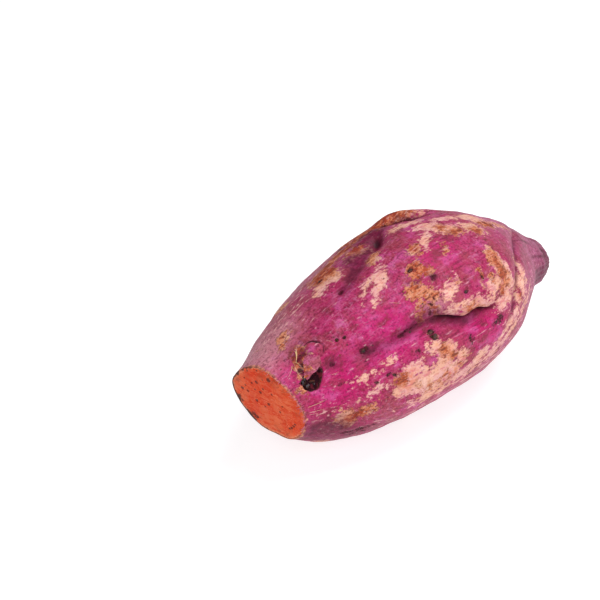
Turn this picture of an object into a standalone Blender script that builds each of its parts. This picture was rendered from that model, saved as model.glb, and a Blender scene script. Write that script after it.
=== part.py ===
"""A sweet potato root, lying on its belly with its stem end trimmed off by one knife cut.

The root grew as one piece, so it is one solid. Its long axis runs along +X, from the knife cut to the
tapered tail, and +Z is up. A place on the skin is given by how far it is along the root, in millimetres
from the knife cut, and by how far it is around the root, in degrees: 0 is the top, 90 is the front at -Y,
180 is the belly and 270 is the back at +Y. The origin is under the middle of the root, on the surface
that it lies on.
"""

import math
from collections import namedtuple

import bmesh
import bpy
import numpy as np
from mathutils import Matrix, Vector

MM = 0.001

# The driving dimensions of the body, in millimetres
HALF_WIDTH = 39.0
HALF_HEIGHT = 36.4
ROOT_LENGTH = 167.0

# Where the girth is, along the root: share of ROOT_LENGTH, share of the widest girth, and the centre of
# the section in millimetres, sideways and up. The rows before share 0 are the stem end that is cut off.
Station = namedtuple("Station", "share girth side up")
STATIONS = (
    Station(-0.160, 0.00, -0.4, 31.0),
    Station(-0.150, 0.16, -0.4, 31.0),
    Station(-0.085, 0.32, -0.4, 31.0),
    Station(0.000, 0.455, -0.5, 31.2),
    Station(0.095, 0.66, -1.5, 31.6),
    Station(0.205, 0.83, -2.4, 32.8),
    Station(0.330, 0.945, -2.6, 34.9),
    Station(0.465, 1.00, -2.2, 36.8),
    Station(0.600, 0.97, -2.0, 36.4),
    Station(0.715, 0.84, -2.0, 35.2),
    Station(0.810, 0.605, -2.2, 33.6),
    Station(0.880, 0.40, -3.0, 31.0),
    Station(0.935, 0.305, -4.2, 28.4),
    Station(0.979, 0.20, -4.6, 27.2),
    Station(1.000, 0.00, -4.6, 27.0),
)

# The knife cut: a point on it, and its outward normal, which leans a little down and to the front
CUT_POINT = (0.0, 0.0, 31.0)
CUT_NORMAL = (-1.0, -0.15, -0.10)

# How deep the flat of the belly is, where the root's own weight has pressed and worn it
BELLY_FLAT = 0.7

# Broad swellings, and hollows with a height below 0. Along and around place the middle, length and width
# are half sizes in millimetres, and turn leans the long side towards the front as it runs to the tail.
Swell = namedtuple("Swell", "along around length width turn height")
SWELLS = (
    # The big lobe over the long crease, and the shoulder that ends it
    Swell(84.0, 28.0, 30.0, 16.0, 14.0, 2.0),
    Swell(106.0, 48.0, 9.0, 13.0, 0.0, 1.0),
    # The lobe under the long crease
    Swell(62.0, 92.0, 34.0, 18.0, 8.0, 1.2),
    # The valley that carries the long crease
    Swell(58.0, 55.0, 34.0, 7.0, 12.0, -1.8),
    # The valley along the top, with a side root's scar at its tail end and a dimple at the other
    Swell(50.0, 352.0, 24.0, 7.0, -10.0, -1.8),
    Swell(71.0, 343.5, 5.0, 4.2, -25.0, -3.6),
    Swell(41.5, 358.0, 3.2, 2.6, 0.0, -1.3),
    # The knuckle behind that scar, and the shoulder of the back over the tail
    Swell(96.0, 322.0, 12.0, 11.0, 0.0, 1.2),
    Swell(143.0, 358.0, 10.0, 11.0, 0.0, 3.4),
    Swell(46.0, 318.0, 34.0, 14.0, 0.0, -1.0),
    # Where side roots dimple the front
    Swell(19.5, 42.0, 3.6, 3.2, 0.0, -0.9),
    Swell(31.0, 45.0, 4.2, 3.2, 0.0, -1.2),
    Swell(59.5, 60.0, 3.4, 2.8, 0.0, -0.9),
    Swell(37.0, 70.5, 3.2, 2.8, 0.0, -0.7),
    # The flattened heel behind the knife cut, and the uneven skin round it
    Swell(-4.0, 216.0, 20.0, 15.0, 0.0, -3.4),
    Swell(12.0, 275.0, 14.0, 11.0, 0.0, -1.5),
    Swell(6.0, 166.0, 6.5, 6.0, 0.0, -2.4),
    Swell(-1.5, 356.0, 7.0, 7.0, 0.0, 1.6),
    Swell(2.0, 74.0, 6.0, 6.0, 0.0, 1.2),
    Swell(-2.0, 285.0, 5.0, 6.0, 0.0, 0.8),
    Swell(17.0, 143.0, 12.0, 9.0, 0.0, 1.0),
    # The back and the belly, uneven in the same way
    Swell(46.0, 268.0, 20.0, 15.0, 10.0, 1.6),
    Swell(74.0, 238.0, 26.0, 5.5, -8.0, -2.4),
    Swell(104.0, 262.0, 16.0, 13.0, 0.0, 1.3),
    Swell(118.0, 204.0, 13.0, 12.0, 0.0, 1.0),
    Swell(84.0, 286.0, 4.4, 3.6, 20.0, -2.4),
    Swell(28.0, 296.0, 4.0, 3.2, 0.0, -1.3),
    Swell(128.0, 300.0, 3.6, 3.0, 0.0, -1.0),
    Swell(112.0, 146.0, 4.0, 3.2, 0.0, -1.1),
    Swell(50.0, 142.0, 4.0, 3.0, 0.0, -0.9),
)

# A crease is a fold in the skin: the points it runs through, how deep it is at each, and how far its
# sides reach. The side nearer the top is a steep lip, and the other is gentle. The lip stands up by
# lip_height where the crease is FULL_DEPTH deep, at LIP_PLACE times its reach and LIP_WIDTH times as wide.
CREASE_ROUND, FULL_DEPTH = 0.7, 3.0
LIP_PLACE, LIP_WIDTH = 2.4, 1.6
Crease = namedtuple("Crease", "points lip_reach foot_reach lip_height")
CREASES = (
    # The long crease under the big lobe: along, around, depth
    Crease(
        (
            (31.0, 49.0, 0.0),
            (41.0, 50.0, 0.8),
            (51.0, 52.0, 1.5),
            (57.0, 53.5, 2.2),
            (64.0, 54.5, 3.0),
            (71.0, 58.5, 3.0),
            (77.0, 62.0, 2.8),
            (84.0, 63.5, 3.4),
            (91.0, 65.5, 3.2),
            (98.0, 66.0, 0.0),
        ),
        1.5,
        5.0,
        0.8,
    ),
    # The fold where the body ends and the neck of the tail begins
    Crease(
        (
            (147.0, 350.0, 0.0),
            (146.0, 8.0, 0.7),
            (134.0, 29.0, 0.9),
            (121.0, 49.0, 0.9),
            (112.0, 68.0, 0.7),
            (106.0, 86.0, 0.0),
        ),
        2.6,
        2.6,
        0.2,
    ),
)

# The wound in the front near the knife cut, where a shoot tore off: an egg-shaped hole, and beside it the
# round pad that the shoot grew from. The hole's size is its half length, half width and depth. Its narrow
# end points along the root, turned towards the top.
WOUND_ALONG, WOUND_AROUND = 10.2, 43.5
WOUND_SIZE = (4.9, 3.3, 3.6)
WOUND_TURN, WOUND_TAPER = 27.0, 0.4
PAD_ALONG, PAD_AROUND = 16.0, 25.0
PAD_RADIUS, PAD_HEIGHT, PAD_RIM = 5.0, 1.0, 1.0

# The mesh: points along and around the body. The columns of points crowd together at the long crease, by
# a share of their spacing, and the one that starts at this angle runs in the bottom of the crease.
POINTS_ALONG, POINTS_AROUND = 88, 72
CREASE_COLUMN, CROWDING = 55.0, 0.55

# How finely a curve is read where a place on it is looked up: the body's stations, and one step of a crease
TABLE_STEPS, CREASE_STEPS = 2000, 16

# The girth under which lengths round the root are no longer shortened, and where the relief fades out
LEAST_GIRTH, FADE_GIRTH = 0.12, 0.15

# The blocks that make the plane cuts are larger than the root, and a sharper edge than this stays sharp
KNIFE_BLOCK, FLOOR_BLOCK = 120.0, 400.0
SHARP_EDGE = math.radians(40.0)

# How the skin, the knife cut and the wound look: linear colour and roughness
SKIN_COLOUR, SKIN_ROUGHNESS = (0.40, 0.06, 0.17, 1.0), 0.55
FLESH_COLOUR, FLESH_ROUGHNESS = (0.72, 0.13, 0.04, 1.0), 0.5
SCAB_COLOUR, SCAB_ROUGHNESS = (0.05, 0.02, 0.025, 1.0), 0.9


def catmull_rom(rows, share):
    """The smooth curve through evenly spaced rows, read at shares of its way from 0 to 1."""
    rows = np.asarray(rows, float)
    last = len(rows) - 1
    place = np.clip(share, 0.0, 1.0) * last
    first = np.minimum(place.astype(int), last - 1)
    f = (place - first)[:, None]
    before, here, there, after = (rows[np.clip(first + k, 0, last)] for k in (-1, 0, 1, 2))
    return 0.5 * (
        2.0 * here
        + (there - before) * f
        + (2.0 * before - 5.0 * here + 4.0 * there - after) * f**2
        + (3.0 * here - before - 3.0 * there + after) * f**3
    )


def unrolled(along, around, centre_along, centre_around):
    """Millimetres lengthwise and round the girth, from a centre to each place on the skin."""
    turned = (around - centre_around + 180.0) % 360.0 - 180.0
    return along - centre_along, np.radians(turned) * girth_at(along)


def girth_at(along):
    """The mean radius of the body at each distance along it, never under a least value at its ends."""
    share = [station.share * ROOT_LENGTH for station in STATIONS]
    girth = [station.girth for station in STATIONS]
    girth = np.maximum(np.interp(along, share, girth), LEAST_GIRTH)
    return girth * 0.5 * (HALF_WIDTH + HALF_HEIGHT)


def swellings(along, around):
    """The sum of every swelling and hollow, each a bell over an ellipse."""
    height = np.zeros_like(along)
    for swell in SWELLS:
        lengthwise, round_girth = unrolled(along, around, swell.along, swell.around)
        c, s = math.cos(math.radians(swell.turn)), math.sin(math.radians(swell.turn))
        u = (lengthwise * c + round_girth * s) / swell.length
        v = (round_girth * c - lengthwise * s) / swell.width
        height += swell.height * np.exp(-(u**2 + v**2))
    return height


def nearest_on_crease(along, around, crease):
    """Distance to a crease, below 0 on its lip side, and the crease's depth at the nearest point."""
    steps = CREASE_STEPS * (len(crease.points) - 1)
    # The path may pass the top, so its angles are kept continuous
    rows = np.array(crease.points, float)
    rows[:, 1] = np.degrees(np.unwrap(np.radians(rows[:, 1])))
    path = catmull_rom(rows, np.linspace(0.0, 1.0, steps))
    distance = np.full(len(along), 1e3)
    depth = np.zeros(len(along))
    for (a0, r0, d0), (a1, r1, d1) in zip(path[:-1], path[1:]):
        du, dv = unrolled(along, around, a0, r0)
        eu, ev = a1 - a0, math.radians(r1 - r0) * girth_at(np.array([a0]))[0]
        f = np.clip((du * eu + dv * ev) / (eu**2 + ev**2), 0.0, 1.0)
        away = np.hypot(du - f * eu, dv - f * ev)
        nearer = away < np.abs(distance)
        side = np.where(eu * dv - ev * du < 0.0, -1.0, 1.0)
        distance = np.where(nearer, side * away, distance)
        depth = np.where(nearer, d0 + (d1 - d0) * f, depth)
    return distance, np.maximum(depth, 0.0)


def creases(along, around):
    """The sum of every crease: a sharp valley with one steep side, and a soft lip above that side."""
    height = np.zeros_like(along)
    for crease in CREASES:
        distance, depth = nearest_on_crease(along, around, crease)
        reach = np.where(distance < 0.0, crease.lip_reach, crease.foot_reach)
        rounded = np.hypot(distance, CREASE_ROUND) - CREASE_ROUND
        height -= depth * np.exp(-rounded / reach)
        lip = (distance / crease.lip_reach + LIP_PLACE) / LIP_WIDTH
        height += crease.lip_height * depth / FULL_DEPTH * np.exp(-(lip**2))
    return height


def pad(along, around):
    """The round pad that the shoot grew from, a low step with a soft rim."""
    u, v = unrolled(along, around, PAD_ALONG, PAD_AROUND)
    return PAD_HEIGHT * 0.5 * (1.0 + np.tanh((PAD_RADIUS - np.hypot(u, v)) / PAD_RIM))


def skin_place(share, around):
    """Places on the skin in millimetres, from shares of the way along the stations and angles round."""
    rows = [(s.share * ROOT_LENGTH, s.girth, s.side, s.up) for s in STATIONS]
    along, girth, side, up = catmull_rom(rows, share).T
    relief = swellings(along, around) + creases(along, around) + pad(along, around)
    # The relief fades out at the two poles, where all the angles meet
    relief *= np.clip(girth / FADE_GIRTH, 0.0, 1.0)
    girth = np.maximum(girth, 0.0)
    angle = np.radians(around)
    return np.column_stack(
        (
            along,
            side - (HALF_WIDTH * girth + relief) * np.sin(angle),
            up + (HALF_HEIGHT * girth + relief) * np.cos(angle),
        )
    )


def distance_along(share):
    """How far along the root each share of the way along the stations is, in millimetres."""
    return catmull_rom([(s.share * ROOT_LENGTH,) for s in STATIONS], share)[:, 0]


def evenly_spaced(fraction):
    """Shares of the way along the stations, so that even steps of fraction are even steps on the skin."""
    shares = np.linspace(0.0, 1.0, TABLE_STEPS)
    rows = [(s.share * ROOT_LENGTH, s.girth * HALF_WIDTH) for s in STATIONS]
    steps = np.diff(catmull_rom(rows, shares), axis=0)
    run = np.append(0.0, np.cumsum(np.hypot(steps[:, 0], steps[:, 1])))
    return np.interp(fraction, run / run[-1], shares)


def column_angle(azimuth, along):
    """The angle round the root of each column of points, drawn towards the long crease and along it."""
    crease_along, crease_around, _ = np.array(CREASES[0].points).T
    shift = np.interp(along, crease_along, crease_around) - CREASE_COLUMN
    turned = np.radians((azimuth - CREASE_COLUMN + 180.0) % 360.0 - 180.0)
    crowded = CREASE_COLUMN + np.degrees(turned - CROWDING * np.sin(turned))
    return crowded + shift * 0.5 * (1.0 + np.cos(turned))


def make_material(name, colour, roughness):
    """A plain Principled material."""
    material = bpy.data.materials.new(name)
    material.use_nodes = True
    shader = material.node_tree.nodes["Principled BSDF"]
    shader.inputs["Base Color"].default_value = colour
    shader.inputs["Roughness"].default_value = roughness
    return material


def make_body(parts):
    """The whole root before it is cut, as a ball that is drawn out into the body."""
    mesh = bmesh.new()
    bmesh.ops.create_uvsphere(
        mesh, u_segments=POINTS_AROUND, v_segments=POINTS_ALONG, radius=1.0
    )
    ball = np.array([vertex.co for vertex in mesh.verts])
    share = evenly_spaced(np.arccos(np.clip(ball[:, 2], -1.0, 1.0)) / math.pi)
    around = column_angle(np.degrees(np.arctan2(ball[:, 1], ball[:, 0])), distance_along(share))
    for vertex, place in zip(mesh.verts, skin_place(share, around)):
        vertex.co = place * MM
    bmesh.ops.recalc_face_normals(mesh, faces=mesh.faces)
    bmesh.ops.triangulate(mesh, faces=mesh.faces)
    data = bpy.data.meshes.new("sweet_potato")
    mesh.to_mesh(data)
    mesh.free()
    body = bpy.data.objects.new("sweet_potato", data)
    parts.objects.link(body)
    return body


def block(size):
    """A cube whose top face is in the plane z = 0."""
    mesh = bmesh.new()
    bmesh.ops.create_cube(mesh, size=size, matrix=Matrix.Translation((0.0, 0.0, -size / 2.0)))
    return mesh


def wound_form():
    """The egg that is scooped out of the skin, with its narrow end along its own x axis."""
    mesh = bmesh.new()
    bmesh.ops.create_icosphere(mesh, subdivisions=3, radius=1.0)
    for vertex in mesh.verts:
        vertex.co.y *= 1.0 - WOUND_TAPER * vertex.co.x
    bmesh.ops.scale(mesh, vec=[half * MM for half in WOUND_SIZE], verts=mesh.verts)
    return mesh


def skin_frame(along, around):
    """A place on the skin, and the rotation whose x axis runs along the root and whose z axis leaves it."""
    shares = np.linspace(0.0, 1.0, TABLE_STEPS)
    share, beyond = np.interp([along, along + 1.0], distance_along(shares), shares)
    nearby = np.array([share, beyond, share]), np.array([around, around, around + 1.0])
    here, further, turned = (Vector(place) for place in skin_place(*nearby))
    outward = (turned - here).cross(further - here).normalized()
    lengthwise = (further - here).normalized()
    rotation = Matrix((lengthwise, outward.cross(lengthwise), outward)).transposed()
    return here, rotation


def make_cutter(name, collection, mesh, place, rotation):
    """A tool for one cut, in its own collection and never rendered."""
    data = bpy.data.meshes.new(name)
    mesh.to_mesh(data)
    mesh.free()
    cutter = bpy.data.objects.new(name, data)
    cutter.location = Vector(place) * MM
    cutter.rotation_mode = "QUATERNION"
    cutter.rotation_quaternion = rotation.to_quaternion()
    cutter.hide_render = True
    cutter.display_type = "WIRE"
    collection.objects.link(cutter)
    return cutter


def cut(body, cutter):
    """Takes the cutter's form off the body. The new faces carry the cutter's material."""
    boolean = body.modifiers.new(cutter.name, "BOOLEAN")
    boolean.operation = "DIFFERENCE"
    boolean.solver = "EXACT"
    boolean.object = cutter
    boolean.material_mode = "TRANSFER"


def settle(body):
    """Applies the cuts, and puts the origin under the middle of the box round the root."""
    bpy.context.view_layer.update()
    evaluated = body.evaluated_get(bpy.context.evaluated_depsgraph_get())
    data = bpy.data.meshes.new_from_object(evaluated)
    body.modifiers.clear()
    body.data = data
    corners = np.array([vertex.co for vertex in data.vertices])
    low, high = corners.min(axis=0), corners.max(axis=0)
    middle = (low + high) / 2.0
    data.transform(Matrix.Translation((-middle[0], -middle[1], -low[2])))
    data.shade_smooth()
    data.set_sharp_from_angle(angle=SHARP_EDGE)


def main():
    for obj in list(bpy.data.objects):
        bpy.data.objects.remove(obj)
    parts = bpy.data.collections.new("sweet potato")
    cutters = bpy.data.collections.new("cutters")
    bpy.context.scene.collection.children.link(parts)
    bpy.context.scene.collection.children.link(cutters)

    body = make_body(parts)
    body.data.materials.append(make_material("skin", SKIN_COLOUR, SKIN_ROUGHNESS))

    inward = -Vector(CUT_NORMAL).normalized()
    leaning = inward.to_track_quat("Z", "Y").to_matrix()
    knife = make_cutter("knife_cut", cutters, block(KNIFE_BLOCK * MM), CUT_POINT, leaning)
    knife.data.materials.append(make_material("flesh", FLESH_COLOUR, FLESH_ROUGHNESS))
    cut(body, knife)

    place, facing = skin_frame(WOUND_ALONG, WOUND_AROUND)
    turn = Matrix.Rotation(math.radians(WOUND_TURN), 3, "Z")
    wound = make_cutter("wound", cutters, wound_form(), place, facing @ turn)
    wound.data.materials.append(make_material("scab", SCAB_COLOUR, SCAB_ROUGHNESS))
    cut(body, wound)

    lowest = min(vertex.co.z for vertex in body.data.vertices) / MM
    resting = (ROOT_LENGTH / 2.0, 0.0, lowest + BELLY_FLAT)
    floor = make_cutter("belly_flat", cutters, block(FLOOR_BLOCK * MM), resting, Matrix.Identity(3))
    floor.data.materials.append(body.data.materials[0])
    cut(body, floor)
    settle(body)


main()
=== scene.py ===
"""The looks of a sweet potato root that lies on its belly with its stem end trimmed off.

Lengths are in millimetres until a mesh is written. A place on the skin is given by how far it is along
the root from the knife cut, and by how far it is around it, in degrees: 0 is the top, 90 the front, 180
the belly and 270 the back. The body, its swellings and its cut are those of the solid underneath. The
first two creases, the pad and the wound lie within a millimetre or two of the solid's. The third crease
and the finer relief are added here.
"""

import math
from collections import namedtuple

import bpy
import numpy as np
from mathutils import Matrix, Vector


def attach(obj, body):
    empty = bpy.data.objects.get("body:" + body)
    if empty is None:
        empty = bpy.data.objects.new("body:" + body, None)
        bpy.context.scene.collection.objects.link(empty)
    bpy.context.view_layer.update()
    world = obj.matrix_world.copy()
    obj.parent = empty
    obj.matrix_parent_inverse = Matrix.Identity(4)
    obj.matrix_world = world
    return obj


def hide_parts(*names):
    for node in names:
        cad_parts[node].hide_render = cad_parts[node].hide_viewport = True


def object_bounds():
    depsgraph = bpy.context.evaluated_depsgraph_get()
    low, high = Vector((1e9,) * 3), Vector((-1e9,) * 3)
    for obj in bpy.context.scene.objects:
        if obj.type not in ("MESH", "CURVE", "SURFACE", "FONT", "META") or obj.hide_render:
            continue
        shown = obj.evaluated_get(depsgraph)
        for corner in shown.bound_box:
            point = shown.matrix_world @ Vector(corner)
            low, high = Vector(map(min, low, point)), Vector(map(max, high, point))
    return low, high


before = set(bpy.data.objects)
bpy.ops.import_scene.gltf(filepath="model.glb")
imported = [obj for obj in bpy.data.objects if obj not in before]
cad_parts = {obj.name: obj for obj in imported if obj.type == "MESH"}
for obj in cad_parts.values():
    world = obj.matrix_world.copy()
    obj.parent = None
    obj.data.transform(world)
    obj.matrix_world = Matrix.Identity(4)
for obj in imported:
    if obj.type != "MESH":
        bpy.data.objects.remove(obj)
cad_box = [list(corner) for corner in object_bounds()]

MM = 0.001


def rows_of(kind, *rows):
    """Rows of plain numbers as rows with named columns."""
    return tuple(kind(*row) for row in rows)


# The body, as in the solid
HALF_WIDTH, HALF_HEIGHT, ROOT_LENGTH = 39.0, 36.4, 167.0

# The middle of the root's box and the height of its belly flat, in the body's own measure. The tip of the
# tail, at ROOT_LENGTH, is the high end of the box.
MIDDLE = np.array([ROOT_LENGTH - cad_box[1][0] / MM, -2.41, 0.98])

# The body's stations: how far along each is and how wide, as shares of the whole, and where its middle
# is to the back and up
Station = namedtuple("Station", "share girth side up")
STATIONS = (
    Station(-0.160, 0.00, -0.4, 31.0),
    Station(-0.150, 0.16, -0.4, 31.0),
    Station(-0.085, 0.32, -0.4, 31.0),
    Station(0.000, 0.455, -0.5, 31.2),
    Station(0.095, 0.66, -1.5, 31.6),
    Station(0.205, 0.83, -2.4, 32.8),
    Station(0.330, 0.945, -2.6, 34.9),
    Station(0.465, 1.00, -2.2, 36.8),
    Station(0.600, 0.97, -2.0, 36.4),
    Station(0.715, 0.84, -2.0, 35.2),
    Station(0.810, 0.605, -2.2, 33.6),
    Station(0.880, 0.40, -3.0, 31.0),
    Station(0.935, 0.305, -4.2, 28.4),
    Station(0.979, 0.20, -4.6, 27.2),
    Station(1.000, 0.00, -4.6, 27.0),
)

# The knife's plane: a point on it, and the way out of the root
CUT_POINT = np.array([0.0, 0.0, 31.0])
CUT_NORMAL = np.array([-1.0, -0.15, -0.10]) / np.linalg.norm([-1.0, -0.15, -0.10])

# The girth under which lengths round the root are no longer shortened, the one under which the relief
# fades out, and how finely the stations' curve is read where a place on it is looked up
LEAST_GIRTH, FADE_GIRTH = 0.12, 0.15
TABLE_STEPS = 2000

# A bell over an ellipse: its middle, half length and half width in mm, turn in degrees, and height
Swell = namedtuple("Swell", "along around length width turn height")
SWELLS = rows_of(
    Swell,
    (84, 28, 30, 16, 14, 2), (106, 48, 9, 13, 0, 1), (62, 92, 34, 18, 8, 1.2),
    (58, 55, 34, 7, 12, -1.8), (50, 352, 24, 7, -10, -1.8), (71, 343.5, 5, 4.2, -25, -3.6),
    (41.5, 358, 3.2, 2.6, 0, -1.3), (96, 322, 12, 11, 0, 1.2), (143, 358, 10, 11, 0, 3.4),
    (46, 318, 34, 14, 0, -1), (19.5, 42, 3.6, 3.2, 0, -0.9), (31, 45, 4.2, 3.2, 0, -1.2),
    (59.5, 60, 3.4, 2.8, 0, -0.9), (37, 70.5, 3.2, 2.8, 0, -0.7), (-4, 216, 20, 15, 0, -3.4),
    (12, 275, 14, 11, 0, -1.5), (6, 166, 6.5, 6, 0, -2.4), (-1.5, 356, 7, 7, 0, 1.6),
    (2, 74, 6, 6, 0, 1.2), (-2, 285, 5, 6, 0, 0.8), (17, 143, 12, 9, 0, 1), (46, 268, 20, 15, 10, 1.6),
    (74, 238, 26, 5.5, -8, -2.4), (104, 262, 16, 13, 0, 1.3), (118, 204, 13, 12, 0, 1),
    (84, 286, 4.4, 3.6, 20, -2.4), (28, 296, 4, 3.2, 0, -1.3), (128, 300, 3.6, 3, 0, -1),
    (112, 146, 4, 3.2, 0, -1.1), (50, 142, 4, 3, 0, -0.9),
)

# A crease runs through points along, around and deep. Its lip side is steep and its foot side reaches
# farther, in mm, and the lip stands up and hangs over it. The long crease is first, then the fold at the
# neck and the short one at the upper edge
CREASE_ROUND, FULL_DEPTH = 0.35, 3.0
LIP_PLACE, LIP_WIDTH = 2.4, 1.6
CREASE_STEPS = 6
Crease = namedtuple("Crease", "points lip_reach foot_reach lip_height overhang")
CREASES = (
    Crease(
        (
            (31, 49, 0), (41, 49, 0.5), (50, 50, 1.2), (57, 50.6, 1.3), (63, 52, 1.7),
            (68, 54, 2.8), (73, 58.6, 3.2), (77, 61.6, 3), (81, 61.2, 3.2), (86, 61.6, 4),
            (91, 64.6, 3.6), (97, 67.5, 0),
        ),
        lip_reach=1.5,
        foot_reach=4.6,
        lip_height=1.3,
        overhang=2.2,
    ),
    Crease(
        (
            (147, 350, 0), (143, 8, 1.2), (134, 29, 1.8), (121, 50, 1.9), (111, 68, 1.6),
            (103, 84, 0.6), (98, 94, 0),
        ),
        lip_reach=1.8,
        foot_reach=2.2,
        lip_height=0.6,
        overhang=0.0,
    ),
    Crease(
        (
            (81, 325, 0), (86, 328.4, 2), (90, 331.4, 3.4), (94.5, 335, 3.6), (99.5, 338.2, 2.8),
            (105, 341, 1.4), (112, 344, 0),
        ),
        lip_reach=1.7,
        foot_reach=3.4,
        lip_height=1.6,
        overhang=1.0,
    ),
)

# The round pad that the shoot grew from: its middle, radius, height and the softness of its rim
PAD_ALONG, PAD_AROUND = 16.7, 21.6
PAD_RADIUS, PAD_HEIGHT, PAD_RIM = 3.3, 0.9, 0.40

# Which way, in degrees from the tailward way towards the front, the groove round the pad is deepest
PAD_GROOVE, GROOVE_DEPTH = -16.0, 0.60

# The wound beside the pad: a ragged egg-shaped hole, with its half length, half width and depth
WOUND_ALONG, WOUND_AROUND = 10.9, 44.6
WOUND_SIZE = (4.9, 3.3, 3.6)
WOUND_TURN, WOUND_TAPER = 27.0, 0.4

# Where the scar starts that the broken root tip left
TAIL_SCAR = 165.5

# The tongue of torn skin: where its root and its free edge lie, along and around, at a place s across it
# from -1 to 1, each as the factors of 1, s and s squared
TONGUE_ROOT = (15.3, 3.4, 0.0), (23.0, 1.5, 0.0)
TONGUE_EDGE = (11.5, 4.3, 0.0), (40.6, -2.6, -1.6)

# The mesh: columns of points around, rows along the skin, and rings on the face of the cut. The cut lies
# between these distances along the root
COLUMNS, SKIN_ROWS, FACE_RINGS = 300, 286, 38
CREASE_COLUMN, CROWDING = 55.0, 0.55
NEAR_CUT = (-9.0, 13.0)

# What the fields say far outside every mark, and far from the cut
FAR_OUTSIDE, FAR_FROM_CUT = -6.0, 20.0

# Marks on the skin
# A mark is an ellipse: its middle, its half length and half width in mm, and its turn in degrees towards
# the front as it runs to the tail
Mark = namedtuple("Mark", "along around length width turn", defaults=(0.0,))

# Where the purple skin is rubbed off and the pale layer under it shows
RUBBED = rows_of(
    Mark,
    # The ragged fork over the middle of the top
    (55.4, 9.6, 5.2, 3, -38), (50, 15, 3.6, 1.4, -50), (46.2, 20, 2.4, 0.9, -30),
    (49.4, 9, 3.4, 0.9, -25),
    # The long ragged band along the top of the big lobe
    (84, 8.5, 6.5, 1.7, -33), (92, 358.5, 6.5, 3.4, 20), (87.5, 346.5, 9, 2, 15), (98, 8, 5, 3.2, 10),
    (106, 356, 7, 1.6, 10), (97, 332.5, 7, 2.6, 20), (118, 0.5, 8, 3.4, 10), (121, 9, 5, 3.2, 20),
    (132, 9.5, 6, 1.5, 15), (108, 13, 6, 3.4, 25),
    # The square patch in front of the lobe, and the rubbed lip of the crease
    (74.2, 43.8, 4.3, 3.3, -15), (78.6, 41.2, 3, 1.6, -20), (73.8, 53.5, 4, 1.3, 20),
    (80.6, 57, 5.4, 2.6),
    # The widest patch, low on the front
    (45.5, 75.5, 6.5, 3.4), (42.6, 83, 5.5, 5), (50.5, 88.5, 7, 6), (58.4, 86.5, 6.5, 5),
    (64, 90, 4.5, 5), (59, 69.5, 3.8, 2.8, 25), (63.8, 77.5, 4.4, 4.8, 50), (70, 85, 3.6, 2.8),
    (61, 97, 7, 2.4), (70.5, 98.5, 7, 2.2, -5), (60, 104.5, 9, 1.3), (51, 101.5, 7, 1.8),
    (76, 103.5, 8, 1.2), (81.5, 96, 5.6, 3.2, -10), (88.5, 100.5, 5, 2.4, -10),
    # Lengthwise streaks below the neck
    (96, 92, 8, 1.6, -25), (101.5, 88, 8, 1.1, -25), (106, 83, 7, 1.5, -25), (100, 97.5, 8, 1.9, -20),
    (108, 92, 7, 1, -20), (113.5, 84.5, 7, 1.4, -20), (93, 101, 7, 1.5, -15), (120, 82, 6, 1.4, -20),
    # The arc where the lobe ends
    (97.2, 55.5, 4.6, 3.4), (103, 62.5, 3.4, 6.5), (106.8, 52, 4.6, 10, -12), (99.6, 68.5, 4.6, 3.2),
    (91, 60, 4, 1.8, 10), (106.5, 43.5, 1.6, 5.5, -15),
    # Behind the fold at the neck
    (121.9, 56.8, 2.4, 5), (117.4, 67.2, 3.1, 5.2), (112.2, 74.8, 2, 3),
    # Small dashes
    (27.1, 63.5, 3.2, 1.1), (40.3, 61, 2.5, 1.1), (27, 79, 3, 0.8, -10), (32.5, 76, 3.5, 0.9),
    (46.6, 340.5, 4.4, 3), (39.8, 342, 4.2, 2.4, -10), (63.4, 338.8, 4.4, 1.3, -5),
    (63.8, 355, 3, 1.5, -30),
)

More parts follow.
